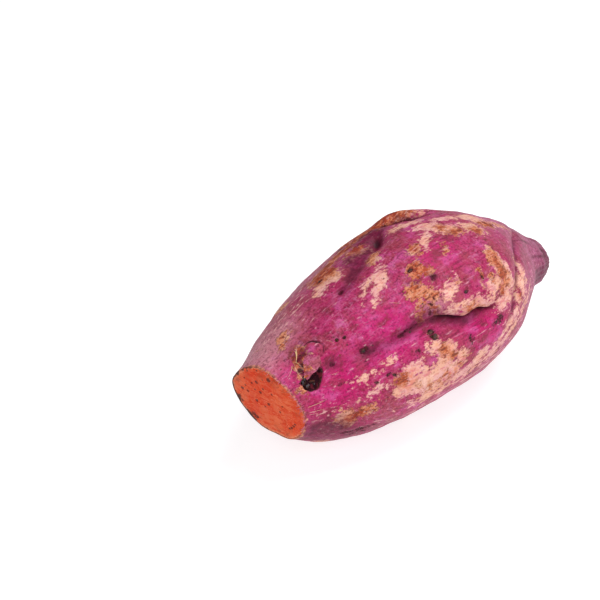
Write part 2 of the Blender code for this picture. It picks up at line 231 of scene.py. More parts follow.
# Tan to orange corky scurf
SCURF = rows_of(
    Mark,
    # The brown mottle beside the pad, and the tan lip under the wound
    (12.6, 13.5, 1.8, 2.4), (11.2, 18.5, 2.4, 3.2, 10), (9.4, 24, 1.8, 2.4), (8, 31, 1.3, 2.6),
    (5.4, 50.8, 1.6, 1.8),
    # On the skin
    (47, 333.4, 5.6, 4.4), (64.2, 334.6, 5.2, 2.9, -5), (62.4, 354, 4.4, 2.7, -30), (74.4, 11, 3.8, 3),
    (96.2, 4.6, 2.8, 1.9), (98.8, 12, 3.8, 2.5, 10), (85.7, 20.4, 2.4, 1.2, -60),
    (121.6, 10.6, 4.2, 2.7, 10), (133, 10, 3.4, 1.1, 15), (109.5, 17, 4.4, 2.9, 25),
    # The two scabby patches on the lobe, one under the other
    (66.8, 22.6, 5, 3.9, -10), (70, 27.5, 3.2, 2.6), (61.4, 32.5, 4.6, 3.6, 20),
    (65.4, 40, 4.2, 2.8, 20), (61, 39.5, 2.6, 2.4), (57.9, 46.4, 1.6, 2.4), (64.6, 46.5, 1.6, 2.6),
    (78.6, 41.3, 1.5, 1), (81.4, 58.8, 4, 1.7),
    # The arc of scurf where the lobe ends
    (105, 41.5, 4.2, 4.8, -15), (105.4, 51.5, 3.9, 6, -5), (98.2, 50, 1.7, 2.6),
    (101.2, 60.5, 1.7, 3.2, 10), (92.6, 47.8, 1.1, 3.4, 10), (113.6, 72.3, 1, 2.4),
    # Low on the front
    (40.8, 76.5, 3.4, 2.8), (47, 87.6, 1.8, 1.2), (53, 92, 2.2, 1.4), (64.8, 93.8, 5.6, 0.9, -28),
    (57, 92.5, 5.6, 0.7, -20), (62, 74, 2.6, 3.2, 60), (65.6, 81.2, 1.9, 1.9), (18.4, 96, 5.2, 3.6, 12),
    (26.4, 92.4, 5.4, 2.4, -15), (16.1, 85.5, 1.2, 1.2), (20, 104, 2.4, 1.8),
    # Near the cut and along the back edge
    (13.6, 349.8, 3, 2.4), (10.8, 355, 1.7, 1.3), (89, 336, 8, 1.8, 20), (95, 328.5, 9, 2.6, 20),
    (86, 325, 7, 3, 10), (62.7, 322.5, 7, 4), (54.6, 324, 7, 3.2), (46.6, 325, 5, 3), (76.7, 313, 9, 5),
    (76.6, 323.8, 9, 3.6, 5),
)

# Where scurf is orange or brown and not tan
RUSTY = rows_of(
    Mark,
    (11.4, 19, 3.8, 6), (64.8, 331.8, 5, 3.6, -5), (47.5, 331, 6, 4.6), (67.5, 24, 7, 5.5),
    (61.5, 46.5, 7, 3.6), (74.4, 10.5, 3, 2.4), (96.4, 4.6, 3, 2.2), (98.8, 12, 4, 3),
    (121.6, 11, 5, 3.6), (109.8, 17.6, 3.6, 2.6), (78.4, 41.3, 2.4, 1.6), (104.8, 46.5, 3.2, 9),
    (101.2, 60.5, 2.2, 4), (92.7, 47.8, 2.2, 4.4), (81.4, 58.8, 5, 2), (114, 72, 2, 3),
    (63, 76.5, 4.4, 4, 40), (42.5, 80, 6, 5), (63, 93, 7, 2.4, -25), (22, 95, 6, 2.6, -10),
    (72, 322, 26, 9), (94, 331, 12, 5, 15),
)

# Dark scabs and root pits
Pit = namedtuple("Pit", "along around length width turn depth dark")
PITS = rows_of(
    Pit,
    (12.3, 18.5, 0.8, 0.8, 0, 0.4, 0.6), (10.5, 20, 0.9, 0.9, 0, 0.5, 0.75),
    (10.2, 26.5, 0.8, 1.2, 0, 0.4, 0.5), (8.6, 32.5, 1, 1.4, 0, 0.5, 0.7),
    (18, 14.5, 0.8, 0.6, 0, 0.3, 0.7), (19.2, 18, 0.9, 0.6, 20, 0.3, 0.8),
    (32.5, 45, 1.7, 1.4, 20, 0.9, 1), (34.9, 48.5, 1.8, 1, 30, 0.2, 0.45),
    (25.6, 27, 0.7, 0.6, 0, 0.4, 0.9), (28.2, 28.5, 0.8, 0.6, 0, 0.4, 0.9),
    (60.8, 60.5, 1.6, 1.3, 0, 0.8, 1), (60.9, 63.8, 1.9, 1.1, 30, 0.4, 0.95),
    (51, 65.5, 1.4, 1.1, 0, 0.3, 0.45), (36.9, 70, 1.1, 0.9, 0, 0.7, 0.9),
    (38.8, 72, 0.8, 0.7, 0, 0.4, 0.75), (41.5, 70, 0.9, 0.8, 0, 0.4, 0.6),
    (30.9, 71.5, 0.8, 0.7, 0, 0.5, 0.75), (18, 60.5, 1.1, 0.8, 0, 0.2, 0.35),
    (19.5, 42, 1, 0.8, 0, 0.6, 0.5), (94.9, 78.8, 3.9, 2.1, 0, 0.8, 0.66),
    (77.3, 78.5, 1.7, 2.5, 0, 0.4, 0.50), (78.2, 85.5, 1.2, 1.4, 0, 0.3, 0.40),
    (48.4, 50.4, 1.6, 0.9, 20, 0.5, 0.9), (50.4, 49.2, 1.5, 0.9, -10, 0.5, 1),
    (53.6, 50.2, 1, 0.5, 0, 0.4, 0.9), (56, 49.8, 0.8, 0.5, 0, 0.3, 0.9),
    (64.2, 44, 0.7, 1, 0, 0.3, 0.8), (62.4, 47.5, 0.7, 0.9, 0, 0.3, 0.8),
    (66.8, 42.4, 0.7, 0.6, 0, 0.3, 0.7), (65.8, 20, 1.3, 0.8, 0, 0.3, 0.95),
    (71.6, 32, 1.9, 1.3, 0, 0.3, 0.55), (81.8, 49.5, 1.1, 0.7, 0, 0.3, 0.9),
    (74.4, 338.6, 3.2, 2.5, -25, 2.6, 0), (58.5, 347.2, 13, 3.6, -30, 1.3, 0),
    (43.5, 333, 1.9, 0.9, 0, 0.2, 0.8), (42.6, 356.2, 1.3, 0.9, 0, 0.8, 0.7),
    (19.4, 119.6, 1, 0.5, 0, 0.2, 0.8), (20.9, 118.2, 1.3, 0.6, 20, 0.2, 0.95),
    (22.3, 117, 0.8, 0.6, -20, 0.2, 0.7), (22.8, 119.2, 1, 0.5, 10, 0.2, 0.9),
    (24, 115.4, 1.4, 0.5, -10, 0.2, 0.95), (24.8, 117.6, 0.9, 0.5, 30, 0.2, 0.8),
    (25.8, 114.6, 0.9, 0.7, 0, 0.2, 0.95), (26.6, 116.4, 1.2, 0.5, -20, 0.2, 0.8),
    (27.8, 113.6, 0.8, 0.5, 10, 0.2, 0.95), (29, 115, 1.1, 0.5, 0, 0.2, 0.8),
    (30.4, 113, 0.8, 0.5, 20, 0.2, 0.9), (31.6, 114.2, 0.9, 0.4, 0, 0.2, 0.7),
    (23.4, 123, 1.4, 0.6, 0, 0.2, 0.8), (27.4, 121, 1.2, 0.5, 10, 0.2, 0.7),
    (87, 329, 2.4, 0.9, 30, 0.3, 0.9), (90.5, 332, 2.4, 1, 35, 0.4, 1),
    (94.5, 335.2, 2.6, 1.1, 30, 0.4, 1), (99, 338, 2.2, 0.8, 25, 0.3, 0.8),
    (122.6, 9, 0.9, 0.6, 0, 0.2, 0.9), (124.5, 12, 1, 0.7, 20, 0.2, 0.9),
    (92.7, 47, 0.8, 1.6, 0, 0.3, 0.6), (157.6, 39, 1.6, 1.2, 0, 0.2, 0.45),
    (143, 69.5, 1.4, 1, 0, 0.2, 0.3), (55.8, 13, 0.5, 0.4, 0, 0.2, 0.4),
    (84, 286, 2.2, 1.8, 20, 0.6, 0.8), (28, 296, 1.6, 1.3, 0, 0.6, 0.8),
    (128, 300, 1.5, 1.2, 0, 0.5, 0.7), (112, 146, 1.8, 1.4, 0, 0.5, 0.8),
    (50, 142, 1.6, 1.3, 0, 0.5, 0.8),
)

# Where shade gathers: in hollows, at the foot of the long crease, in furrows and under the belly's edge
SHADED = rows_of(
    Mark,
    (75, 338.4, 5.2, 4.2, -20), (75, 331, 4.6, 3.6), (67.5, 341, 5, 2.4, -10), (61, 345.5, 5, 2.8, -30),
    (55.5, 349.8, 5, 2.9, -35), (49.5, 353.6, 5, 2.7, -35), (57.5, 339, 5, 3.2, -10),
    (42.9, 356, 2.6, 1.6), (76, 332, 10, 3.4, 15), (92, 333, 8, 1.4, 20), (71.2, 31, 1.7, 1.9),
    (19, 41, 2.6, 2.4), (34, 47.5, 6, 3), (50, 50.5, 9, 2.4), (58, 48.5, 7, 2.6, 5),
    (65, 52, 6, 2.4, 20), (70, 59, 9, 2.6, 25), (80, 66, 9, 2.2, 5), (117.3, 58, 8.5, 1, -46),
    (128, 38.5, 8.5, 1, -35), (106.5, 78, 6, 1, -45), (159, 58, 4.5, 10), (150, 96, 14, 5),
    (147, 78, 9, 0.8), (150, 54, 8, 0.7), (143, 30, 8, 0.6), (152, 8, 9, 0.8), (12, 20, 3, 4),
    (16, 122, 20, 7), (12, 104, 10, 5), (84, 286, 5, 4, 20),
)

# Small deep hollows, whose bottoms are painted wine-dark and black as shade
SHADED_HOLLOWS = rows_of(
    Mark,
    (74.5, 338.6, 3.5, 2.7, -25), (42.9, 356, 1.1, 0.7), (84, 286, 2.4, 1.9, 20), (66.4, 315, 2, 1.4),
)

# Broad fields of colour: where the skin is brightest, where it is dull and grey, and where it is streaked
BRIGHT = rows_of(
    Mark,
    (45, 37, 16, 9, 15), (56, 50, 10, 4), (16, 38, 9, 7), (5, 24, 5, 6), (17, 66, 13, 9),
    (40, 58, 14, 5), (80, 71, 16, 6, 5), (92, 84, 10, 6), (80, 22, 12, 8),
)
DULL = rows_of(
    Mark,
    (2, 331, 14, 13), (12, 343, 12, 7), (66, 46, 8, 2.6, 10), (20, 220, 30, 24),
)
STREAKED = rows_of(
    Mark,
    (60, 122, 50, 11), (12, 92, 9, 8), (118, 80, 24, 9), (60, 322, 40, 10), (20, 335, 14, 7),
    (92, 110, 26, 9, -10), (60, 214, 50, 16),
)

# Dots on the face of the cut, where vessels end: how far each is to the back and up, and its size, in mm
Dot = namedtuple("Dot", "back up size")
FACE_DOTS = rows_of(
    Dot,
    (-4.2, 44.6, 0.92), (2.2, 40.5, 0.73), (4.6, 39, 0.49), (0.5, 36.1, 0.61), (7.1, 33.6, 0.61),
    (-3.4, 32, 0.61), (2.7, 30.9, 0.67), (-5.4, 38, 0.43), (3, 36.4, 0.43), (-1.5, 29.6, 0.49),
    (-0.9, 38.6, 0.43), (9.9, 33.7, 0.73), (8, 36.2, 0.43), (12.3, 28.1, 0.98), (11, 26.5, 0.73),
    (5.7, 21.9, 0.98), (4.4, 21.1, 1.10), (-13.6, 24.4, 0.55), (-14.6, 25.6, 0.55), (-15.4, 27, 0.49),
    (-12.6, 23.4, 0.49), (13.4, 38, 0.61), (10.4, 42.6, 0.55), (7, 47, 0.45), (9.6, 45.4, 0.60),
    (4.5, 47.8, 0.40), (12, 44.4, 0.50), (6.2, 44.6, 0.45), (1.5, 46.5, 0.40), (14.6, 41.4, 0.50),
    (16.2, 38.4, 0.45), (8.2, 40, 0.40), (11.8, 40.6, 0.35), (-1, 43.4, 0.35), (-8.6, 30.4, 0.40),
    (-10, 34, 0.35),
)

# Marks of the same kinds over the back and the belly, drawn by a seeded rule
HIDDEN_FROM, HIDDEN_TO = 138.0, 312.0
HIDDEN_RUBBED, HIDDEN_SCURF, HIDDEN_PITS, SPECKS = 34, 26, 14, 150

# The camera
# Where it stands, in the body's own measure, and the direction from the root back to it
CAMERA_PLACE = (-348.1, -381.5, 441.7)
CAMERA_AZIMUTH, CAMERA_ELEVATION = -44.0, 35.0
CAMERA_LENS, CAMERA_SENSOR = 100.0, 36.0


# The body's formula
def catmull_rom(rows, share):
    """The smooth curve through evenly spaced rows, read at shares of its way from 0 to 1."""
    rows = np.asarray(rows, float)
    last = len(rows) - 1
    place = np.clip(share, 0.0, 1.0) * last
    first = np.minimum(place.astype(int), last - 1)
    f = (place - first)[:, None]
    before, here, there, after = (rows[np.clip(first + k, 0, last)] for k in (-1, 0, 1, 2))
    return 0.5 * (
        2.0 * here
        + (there - before) * f
        + (2.0 * before - 5.0 * here + 4.0 * there - after) * f**2
        + (3.0 * here - before - 3.0 * there + after) * f**3
    )


def girth_at(along):
    """The mean radius of the body at each distance along it, never under a least value at its ends."""
    share = [station.share * ROOT_LENGTH for station in STATIONS]
    girth = [station.girth for station in STATIONS]
    girth = np.maximum(np.interp(along, share, girth), LEAST_GIRTH)
    return girth * 0.5 * (HALF_WIDTH + HALF_HEIGHT)


def unrolled(along, around, centre_along, centre_around):
    """Millimetres lengthwise and round the girth, from a centre to each place on the skin."""
    turned = (around - centre_around + 180.0) % 360.0 - 180.0
    return along - centre_along, np.radians(turned) * girth_at(along)


def over_ellipse(along, around, mark):
    """Each place's distance from a mark's middle, in half lengths one way and half widths the other."""
    lengthwise, round_girth = unrolled(along, around, mark.along, mark.around)
    c, s = math.cos(math.radians(mark.turn)), math.sin(math.radians(mark.turn))
    u = (lengthwise * c + round_girth * s) / mark.length
    v = (round_girth * c - lengthwise * s) / mark.width
    return np.hypot(u, v)


def bells(along, around, marks):
    """The sum of a bell over each mark's ellipse, exp(-r^2)."""
    return sum(np.exp(-(over_ellipse(along, around, mark) ** 2)) for mark in marks)


def swelling_height(along, around):
    """How far the swellings and dents raise the skin at each place, below 0 in a dent."""
    return sum(swell.height * np.exp(-(over_ellipse(along, around, swell) ** 2)) for swell in SWELLS)


def depth_inside(along, around, marks):
    """Millimetres inside the nearest mark's edge, below 0 outside: the largest (1 - r) x half width."""
    depth = np.full(len(along), FAR_OUTSIDE)
    for mark in marks:
        half = min(mark.length, mark.width)
        depth = np.maximum(depth, (1.0 - over_ellipse(along, around, mark)) * half)
    return depth


def nearest_on_crease(along, around, crease):
    """Distance to a crease, below 0 on its lip side, and the crease's depth at the nearest point."""
    rows = np.array(crease.points, float)
    rows[:, 1] = np.degrees(np.unwrap(np.radians(rows[:, 1])))
    path = catmull_rom(rows, np.linspace(0.0, 1.0, CREASE_STEPS * (len(rows) - 1)))
    distance = np.full(len(along), 1e3)
    depth = np.zeros(len(along))
    for (a0, r0, d0), (a1, r1, d1) in zip(path[:-1], path[1:]):
        du, dv = unrolled(along, around, a0, r0)
        eu, ev = a1 - a0, math.radians(r1 - r0) * girth_at(np.array([a0]))[0]
        f = np.clip((du * eu + dv * ev) / (eu**2 + ev**2), 0.0, 1.0)
        away = np.hypot(du - f * eu, dv - f * ev)
        nearer = away < np.abs(distance)
        side = np.where(eu * dv - ev * du < 0.0, -1.0, 1.0)
        distance = np.where(nearer, side * away, distance)
        depth = np.where(nearer, d0 + (d1 - d0) * f, depth)
    return distance, np.maximum(depth, 0.0)


def distance_along(share):
    """How far along the root each share of the way along the stations is."""
    return catmull_rom([(s.share * ROOT_LENGTH,) for s in STATIONS], share)[:, 0]


def share_at(along):
    """The share of the way along the stations at each distance along the root."""
    shares = np.linspace(0.0, 1.0, TABLE_STEPS)
    return np.interp(along, distance_along(shares), shares)


def smooth_noise(places, size, seed):
    """Smooth chance values from -1 to 1: random numbers at the corners of cubes of the given size, blended
    across each cube by 3t^2 - 2t^3."""
    table = np.random.default_rng(seed).uniform(-1.0, 1.0, 4096)
    scaled = places / size
    cell = np.floor(scaled).astype(np.int64)
    t = scaled - cell
    t = t * t * (3.0 - 2.0 * t)
    total = np.zeros(len(places))
    for corner in np.ndindex(2, 2, 2):
        key = cell + corner
        index = (key[:, 0] * 73856093) ^ (key[:, 1] * 19349663) ^ (key[:, 2] * 83492791)
        weight = np.prod(np.where(np.array(corner) == 1, t, 1.0 - t), axis=1)
        total += weight * table[index & 4095]
    return total


def layered_noise(places, size, seed, layers=3):
    """Smooth noise summed over layers, each with half the size and half the height of the one before."""
    heights = 0.5 ** np.arange(layers)
    noises = [smooth_noise(places, size * h, seed + k) for k, h in enumerate(heights)]
    return sum(h * n for h, n in zip(heights, noises)) / heights.sum()


def wound_depth(along, around, places):
    """How deep the wound is at each place: an egg's inside, with steep walls and a torn edge."""
    u, v = unrolled(along, around, WOUND_ALONG, WOUND_AROUND)
    c, s = math.cos(math.radians(WOUND_TURN)), math.sin(math.radians(WOUND_TURN))
    lengthwise = (u * c - v * s) / WOUND_SIZE[0]
    sideways = (v * c + u * s) / WOUND_SIZE[1] / (1.0 - WOUND_TAPER * np.clip(lengthwise, -1.0, 1.0))
    reach = np.hypot(lengthwise, sideways) + 0.22 * layered_noise(places, 2.6, 31)
    inside = np.clip((1.08 - reach) / 0.22, 0.0, 1.0)
    hollow = np.sqrt(np.clip(1.0 - 0.75 * reach**2, 0.0, 1.0))
    return WOUND_SIZE[2] * inside * inside * (3.0 - 2.0 * inside) * (0.45 + 0.55 * hollow)


def plain_place(share, around, relief=0.0, slip=0.0):
    """Places in millimetres: the station's ellipse, raised by the relief and turned by the slip."""
    rows = [(s.share * ROOT_LENGTH, s.girth, s.side, s.up) for s in STATIONS]
    along, girth, side, up = catmull_rom(rows, share).T
    relief = relief * np.clip(girth / FADE_GIRTH, 0.0, 1.0)
    girth = np.maximum(girth, 0.0)
    angle = np.radians(around) + slip / girth_at(along)
    return np.column_stack(
        (
            along,
            side - (HALF_WIDTH * girth + relief) * np.sin(angle),
            up + (HALF_HEIGHT * girth + relief) * np.cos(angle),
        )
    )


def groove_round_pad(along, around):
    """How much of the groove round the pad is at each place: a bell over a ring that fades to one side."""
    u, v = unrolled(along, around, PAD_ALONG, PAD_AROUND)
    reach = np.hypot(u, v)
    way = math.radians(PAD_GROOVE)
    side = np.clip(0.45 + 0.8 * (u * math.cos(way) + v * math.sin(way)) / (reach + 0.1), 0.0, 1.0)
    reach = reach + 0.7 * smooth_noise(plain_place(share_at(along), around), 2.6, 83)
    return side * np.exp(-(((reach - PAD_RADIUS - 0.3) / 0.55) ** 2))


def broad_relief(along, around):
    """Swellings, creases and the pad. Also how far a crease's lip leans over, and how dark the painted
    shade is in the creases and hollows."""
    height = swelling_height(along, around)
    slip = np.zeros_like(along)
    fold = np.zeros_like(along)
    for crease in CREASES:
        distance, depth = nearest_on_crease(along, around, crease)
        distance = distance + 0.9 * smooth_noise(plain_place(share_at(along), around), 5.0, 77)
        reach = np.where(distance < 0.0, crease.lip_reach, crease.foot_reach)
        rounded = np.hypot(distance, CREASE_ROUND) - CREASE_ROUND
        height -= depth * np.exp(-rounded / reach)
        lip = (distance / crease.lip_reach + LIP_PLACE) / LIP_WIDTH
        height += crease.lip_height * depth / FULL_DEPTH * np.exp(-(lip**2))
        # The lip leans over the bottom of the crease, and the bottom draws back under it
        over = np.exp(-(((distance + 1.7) / 1.3) ** 2)) - 0.45 * np.exp(-((distance / 0.7) ** 2))
        slip += crease.overhang * np.clip(depth / FULL_DEPTH, 0.0, 1.0) ** 1.5 * over
        # Painted shade at the foot of a crease whose lip hangs over it, darker where the crease is deeper
        if crease.overhang:
            away = np.where(distance < 0.0, -distance / 0.8, distance / 2.7)
            fold = np.maximum(fold, np.clip(depth / FULL_DEPTH, 0.0, 1.0) ** 1.1 * np.exp(-(away**2)))
    reach = np.hypot(*unrolled(along, around, PAD_ALONG, PAD_AROUND))
    reach = reach + 0.9 * smooth_noise(plain_place(share_at(along), around), 2.6, 83)
    height += PAD_HEIGHT * 0.5 * (1.0 + np.tanh((PAD_RADIUS - reach) / PAD_RIM))
    height -= GROOVE_DEPTH * groove_round_pad(along, around)
    # Painted shade in the deep hollows
    for hollow in SHADED_HOLLOWS:
        fold = np.maximum(fold, np.exp(-(over_ellipse(along, around, hollow) ** 2)))
    return height, slip, fold


def pit_marks(along, around, pits):
    """Depth and darkness of the pits: a bell each, with the darkness flat-topped over the same ellipse."""
    depth = np.zeros_like(along)
    dark = np.zeros_like(along)
    for pit in pits:
        reach = over_ellipse(along, around, pit)
        depth += pit.depth * np.exp(-(reach**2))
        dark = np.maximum(dark, pit.dark * np.clip(1.5 - reach, 0.0, 1.0))
    return depth, dark


def fine_relief(along, around, places):
    """Lumps of the flesh, hair-fine rings round the root, and lengthwise wrinkles at the tail."""
    lumps = 0.75 * layered_noise(places, 17.0, 3) + 0.22 * layered_noise(places, 5.5, 9)
    ringed = places * (1.0 / 1.7, 1.0 / 15.0, 1.0 / 15.0)
    rings = 0.07 * layered_noise(ringed, 1.0, 11, 2)
    angle = np.radians(around)
    round_tail = np.column_stack((along / 30.0, 9.0 * np.cos(angle), 9.0 * np.sin(angle)))
    near_tail = np.clip((along - 118.0) / 30.0, 0.0, 1.0)
    wrinkles = 0.8 * near_tail * layered_noise(round_tail, 1.5, 19, 3)
    return lumps + rings * (1.0 + 2.0 * near_tail) + wrinkles


# Meshes from grids
def mesh_of_rings(name, rings, starts, ends):
    """A mesh of closed bodies. rings is bodies x rows x columns x 3, in metres, and each body ends in a
    single point at both ends. Each four neighbours make a face, and each end a fan of triangles."""
    bodies, rows, columns, _ = rings.shape
    count = rows * columns
    row, column = np.meshgrid(np.arange(rows - 1), np.arange(columns), indexing="ij")
    beside = (column + 1) % columns
    quads = np.stack(
        (
            row * columns + column,
            row * columns + beside,
            (row + 1) * columns + beside,
            (row + 1) * columns + column,
        ),
        axis=-1,
    ).reshape(-1, 4)
    c = np.arange(columns)
    d = (c + 1) % columns
    last = (rows - 1) * columns
    fan = np.concatenate(
        (
            np.stack((np.full(columns, count), d, c), axis=-1),
            np.stack((last + c, last + d, np.full(columns, count + 1)), axis=-1),
        )
    )
    step = (np.arange(bodies) * (count + 2))[:, None, None]
    quads = (quads[None] + step).reshape(-1)
    fans = (fan[None] + step).reshape(-1)
    points = np.concatenate(
        (rings.reshape(bodies, count, 3), starts[:, None], ends[:, None]), axis=1
    ).reshape(-1, 3)
    corners = np.concatenate((quads, fans))
    sizes = np.concatenate((np.full(len(quads) // 4, 4), np.full(len(fans) // 3, 3)))
    mesh = bpy.data.meshes.new(name)
    mesh.vertices.add(len(points))
    mesh.vertices.foreach_set("co", points.astype(np.float32).ravel())
    mesh.loops.add(len(corners))
    mesh.loops.foreach_set("vertex_index", corners.astype(np.int32))
    mesh.polygons.add(len(sizes))
    mesh.polygons.foreach_set("loop_start", (np.cumsum(sizes) - sizes).astype(np.int32))
    mesh.update(calc_edges=True)
    mesh.validate()
    mesh.shade_smooth()
    return mesh


def place_piece(name, mesh, materials):
    """Puts a finished mesh into the scene as a piece that rides with the root."""
    for material in materials:
        mesh.materials.append(material)
    piece = bpy.data.objects.new(name, mesh)
    bpy.context.scene.collection.objects.link(piece)
    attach(piece, "root")
    return piece


def to_frame(places):
    """Millimetres of the body's own measure to metres of the part's frame."""
    return (places - MIDDLE) * MM


def set_field(mesh, name, values):
    """Stores one number for each point of the mesh, for the materials to read."""
    field = mesh.attributes.new(name, "FLOAT", "POINT")
    field.data.foreach_set("value", np.asarray(values, np.float32))


# The marks that the eye doesn't see first
def hidden_marks(seed, count, length, width):
    """Marks over the back and the belly: even chances along and around, and sizes that are mostly small."""
    rng = np.random.default_rng(seed)
    marks = []
    for _ in range(count):
        size = 0.45 + 0.55 * rng.random() ** 2
        marks.append(
            Mark(
                rng.uniform(6.0, 142.0),
                rng.uniform(HIDDEN_FROM, HIDDEN_TO),
                length * size * rng.uniform(0.7, 1.4),
                width * size,
                rng.uniform(-30.0, 30.0),
            )
        )
    return tuple(marks)


def seeded_pits(seed, count, start, stop, size, dark):
    """Small pits or specks with even chances over a stretch of the girth."""
    rng = np.random.default_rng(seed)
    return tuple(
        Pit(
            rng.uniform(3.0, 152.0),
            rng.uniform(start, stop),
            size * rng.uniform(0.6, 1.6),
            size * rng.uniform(0.5, 1.1),
            rng.uniform(-40.0, 40.0),
            0.25 * size,
            dark * rng.uniform(0.4, 1.0),
        )
        for _ in range(count)
    )


# The root
# At each place on the skin: how far along it is, where the plain body is, how far the relief raises and
# turns it, how much painted shade of a crease or hollow lies there, and how much of a scab and the wound is
# there
Relief = namedtuple("Relief", "along smooth height slip fold dark torn")


def column_angle(azimuth, along):
    """The angle round the root of each column of points, drawn towards the long crease and along it."""
    crease_along, crease_around, _ = np.array(CREASES[0].points).T
    shift = np.interp(along, crease_along, crease_around) - CREASE_COLUMN
    turned = np.radians((azimuth - CREASE_COLUMN + 180.0) % 360.0 - 180.0)
    crowded = CREASE_COLUMN + np.degrees(turned - CROWDING * np.sin(turned))
    return crowded + shift * 0.5 * (1.0 + np.cos(turned))


def row_table():
    """Shares of the way along the stations, and how many rows of points lie before each: the skin's
    length, weighted so that rows crowd at the wound and over the middle."""
    shares = np.linspace(0.0, 1.0, TABLE_STEPS)
    rows = catmull_rom([(s.share * ROOT_LENGTH, s.girth * HALF_WIDTH) for s in STATIONS], shares)
    at_wound = np.exp(-(((rows[:, 0] - 11.0) / 12.0) ** 2))
    at_middle = np.exp(-(((rows[:, 0] - 66.0) / 40.0) ** 2))
    weight = 1.0 + 1.1 * at_wound + 0.4 * at_middle
    steps = np.hypot(*np.diff(rows, axis=0).T) * weight[:-1]
    return shares, np.append(0.0, np.cumsum(steps))


def relief_at(share, around):
    """Everything that raises or lowers the skin, with the fields that colour it."""
    along = distance_along(share)
    smooth = plain_place(share, around)
    height, slip, fold = broad_relief(along, around)
    pits, dark = pit_marks(along, around, ALL_PITS)
    dark = np.maximum(dark, 0.85 * np.clip((along - TAIL_SCAR) / 0.8, 0.0, 1.0))
    torn = wound_depth(along, around, smooth)
    height = height + fine_relief(along, around, smooth) - pits - torn
    return Relief(along, smooth, height, slip, fold, dark, torn)


def pressed_flat(places):
    """Places on the skin with the belly pressed flat where it lies."""
    places[:, 2] = np.maximum(places[:, 2], MIDDLE[2])
    return places


def skin_points(share, around):
    """Finished places on the skin, in the body's own measure."""
    relief = relief_at(share, around)
    return pressed_flat(plain_place(share, around, relief.height, relief.slip))


def shares_at_cut(azimuth):
    """Where each column of the skin meets the plane of the cut, as a share of the way along the stations:
    in proportion between the last probe outside the plane and the next one."""
    probe = share_at(np.linspace(*NEAR_CUT, 67))
    tried, columns = np.meshgrid(probe, azimuth, indexing="ij")
    angles = column_angle(columns.ravel(), distance_along(tried.ravel()))
    tested = skin_points(tried.ravel(), angles).reshape(*tried.shape, 3)
    outside = (tested - CUT_POINT) @ CUT_NORMAL
    last = len(probe) - 1 - np.argmax(outside[::-1] > 0.0, axis=0)
    here = np.take_along_axis(outside, last[None], axis=0)[0]
    beyond = np.take_along_axis(outside, last[None] + 1, axis=0)[0]
    return probe[last] + here / (here - beyond) * (probe[last + 1] - probe[last])


def cut_face(rim):
    """Rings over the cut, which shrink from the rim to its middle. The flesh stands a little proud of the
    plane, in torn ripples. Also the rings before the ripples, how far each is shrunk, and the middle."""
    middle = rim.mean(axis=0)
    inward = np.linspace(0.0, 1.0, FACE_RINGS + 2)[1:-1][:, None, None]
    face = rim + (middle - rim) * inward
    flat = face.reshape(-1, 3)
    shrink = np.repeat(inward.ravel(), COLUMNS)
    ripple = 0.30 * layered_noise(flat * (1.0, 0.8, 0.22), 2.2, 41)
    ripple += 0.35 * layered_noise(flat, 7.0, 43)
    proud = (0.5 * np.sqrt(shrink) + ripple) * np.clip(shrink / 0.10, 0.0, 1.0) - 0.15
    face = (flat + np.outer(proud, CUT_NORMAL)).reshape(face.shape)
    return face, flat, shrink, middle + CUT_NORMAL * 0.4


def set_skin_fields(mesh, around, relief):
    """The fields that the skin's material reads. The edges of the patches are bent by noise."""

    def both(values, on_face=0.0, at_tip=0.0):
        return np.concatenate((np.full(FACE_RINGS * COLUMNS, on_face), values, (on_face, at_tip)))

    along, smooth = relief.along, relief.smooth
    warp = np.column_stack([layered_noise(smooth * (0.5, 1.0, 1.0), 4.0, 51 + k) for k in range(2)])
    near_along = along + 1.6 * warp[:, 0]
    near_around = around + np.degrees(1.1 * warp[:, 1] / girth_at(along))
    for name, marks in (("rubbed", ALL_RUBBED), ("scurf", ALL_SCURF)):
        set_field(mesh, name, both(depth_inside(near_along, near_around, marks), FAR_OUTSIDE, FAR_OUTSIDE))
    for name, marks in (
        ("rusty", ALL_RUSTY),
        ("bright", BRIGHT),
        ("dull", DULL),
        ("streaked", STREAKED),
        ("shaded", SHADED),
    ):
        set_field(mesh, name, both(np.minimum(bells(along, around, marks), 1.0)))
    set_field(mesh, "pad_edge", both(groove_round_pad(along, around)))
    set_field(mesh, "dark", both(relief.dark))
    # Painted shade in the creases and the deep hollows
    set_field(mesh, "fold", both(relief.fold))
    set_field(mesh, "torn", both(np.clip(relief.torn / WOUND_SIZE[2], 0.0, 1.0)))
    set_field(mesh, "tail", both(np.clip((along - 112.0) / 40.0, 0.0, 1.0), 0.0, 1.0))
    from_cut = np.minimum((CUT_POINT - smooth) @ CUT_NORMAL, FAR_FROM_CUT)
    set_field(mesh, "rim", both(from_cut, 0.0, FAR_FROM_CUT))


def set_face_fields(mesh, flat, shrink):
    """The fields that the flesh's material reads: its dots, and how far each place is from its middle."""
    dots = np.zeros(len(flat))
    for dot in FACE_DOTS:
        reach = np.hypot(flat[:, 1] - dot.back, flat[:, 2] - dot.up) / dot.size
        dots = np.maximum(dots, np.clip(1.6 - reach, 0.0, 1.0))
    on_rings = dots.reshape(FACE_RINGS, COLUMNS)[::-1].ravel()
    set_field(mesh, "vessel", np.concatenate((on_rings, np.zeros(SKIN_ROWS * COLUMNS + 2))))
    from_middle = np.concatenate((1.0 - shrink[::-1], np.ones(SKIN_ROWS * COLUMNS), (0.0, 1.0)))
    set_field(mesh, "from_middle", from_middle)


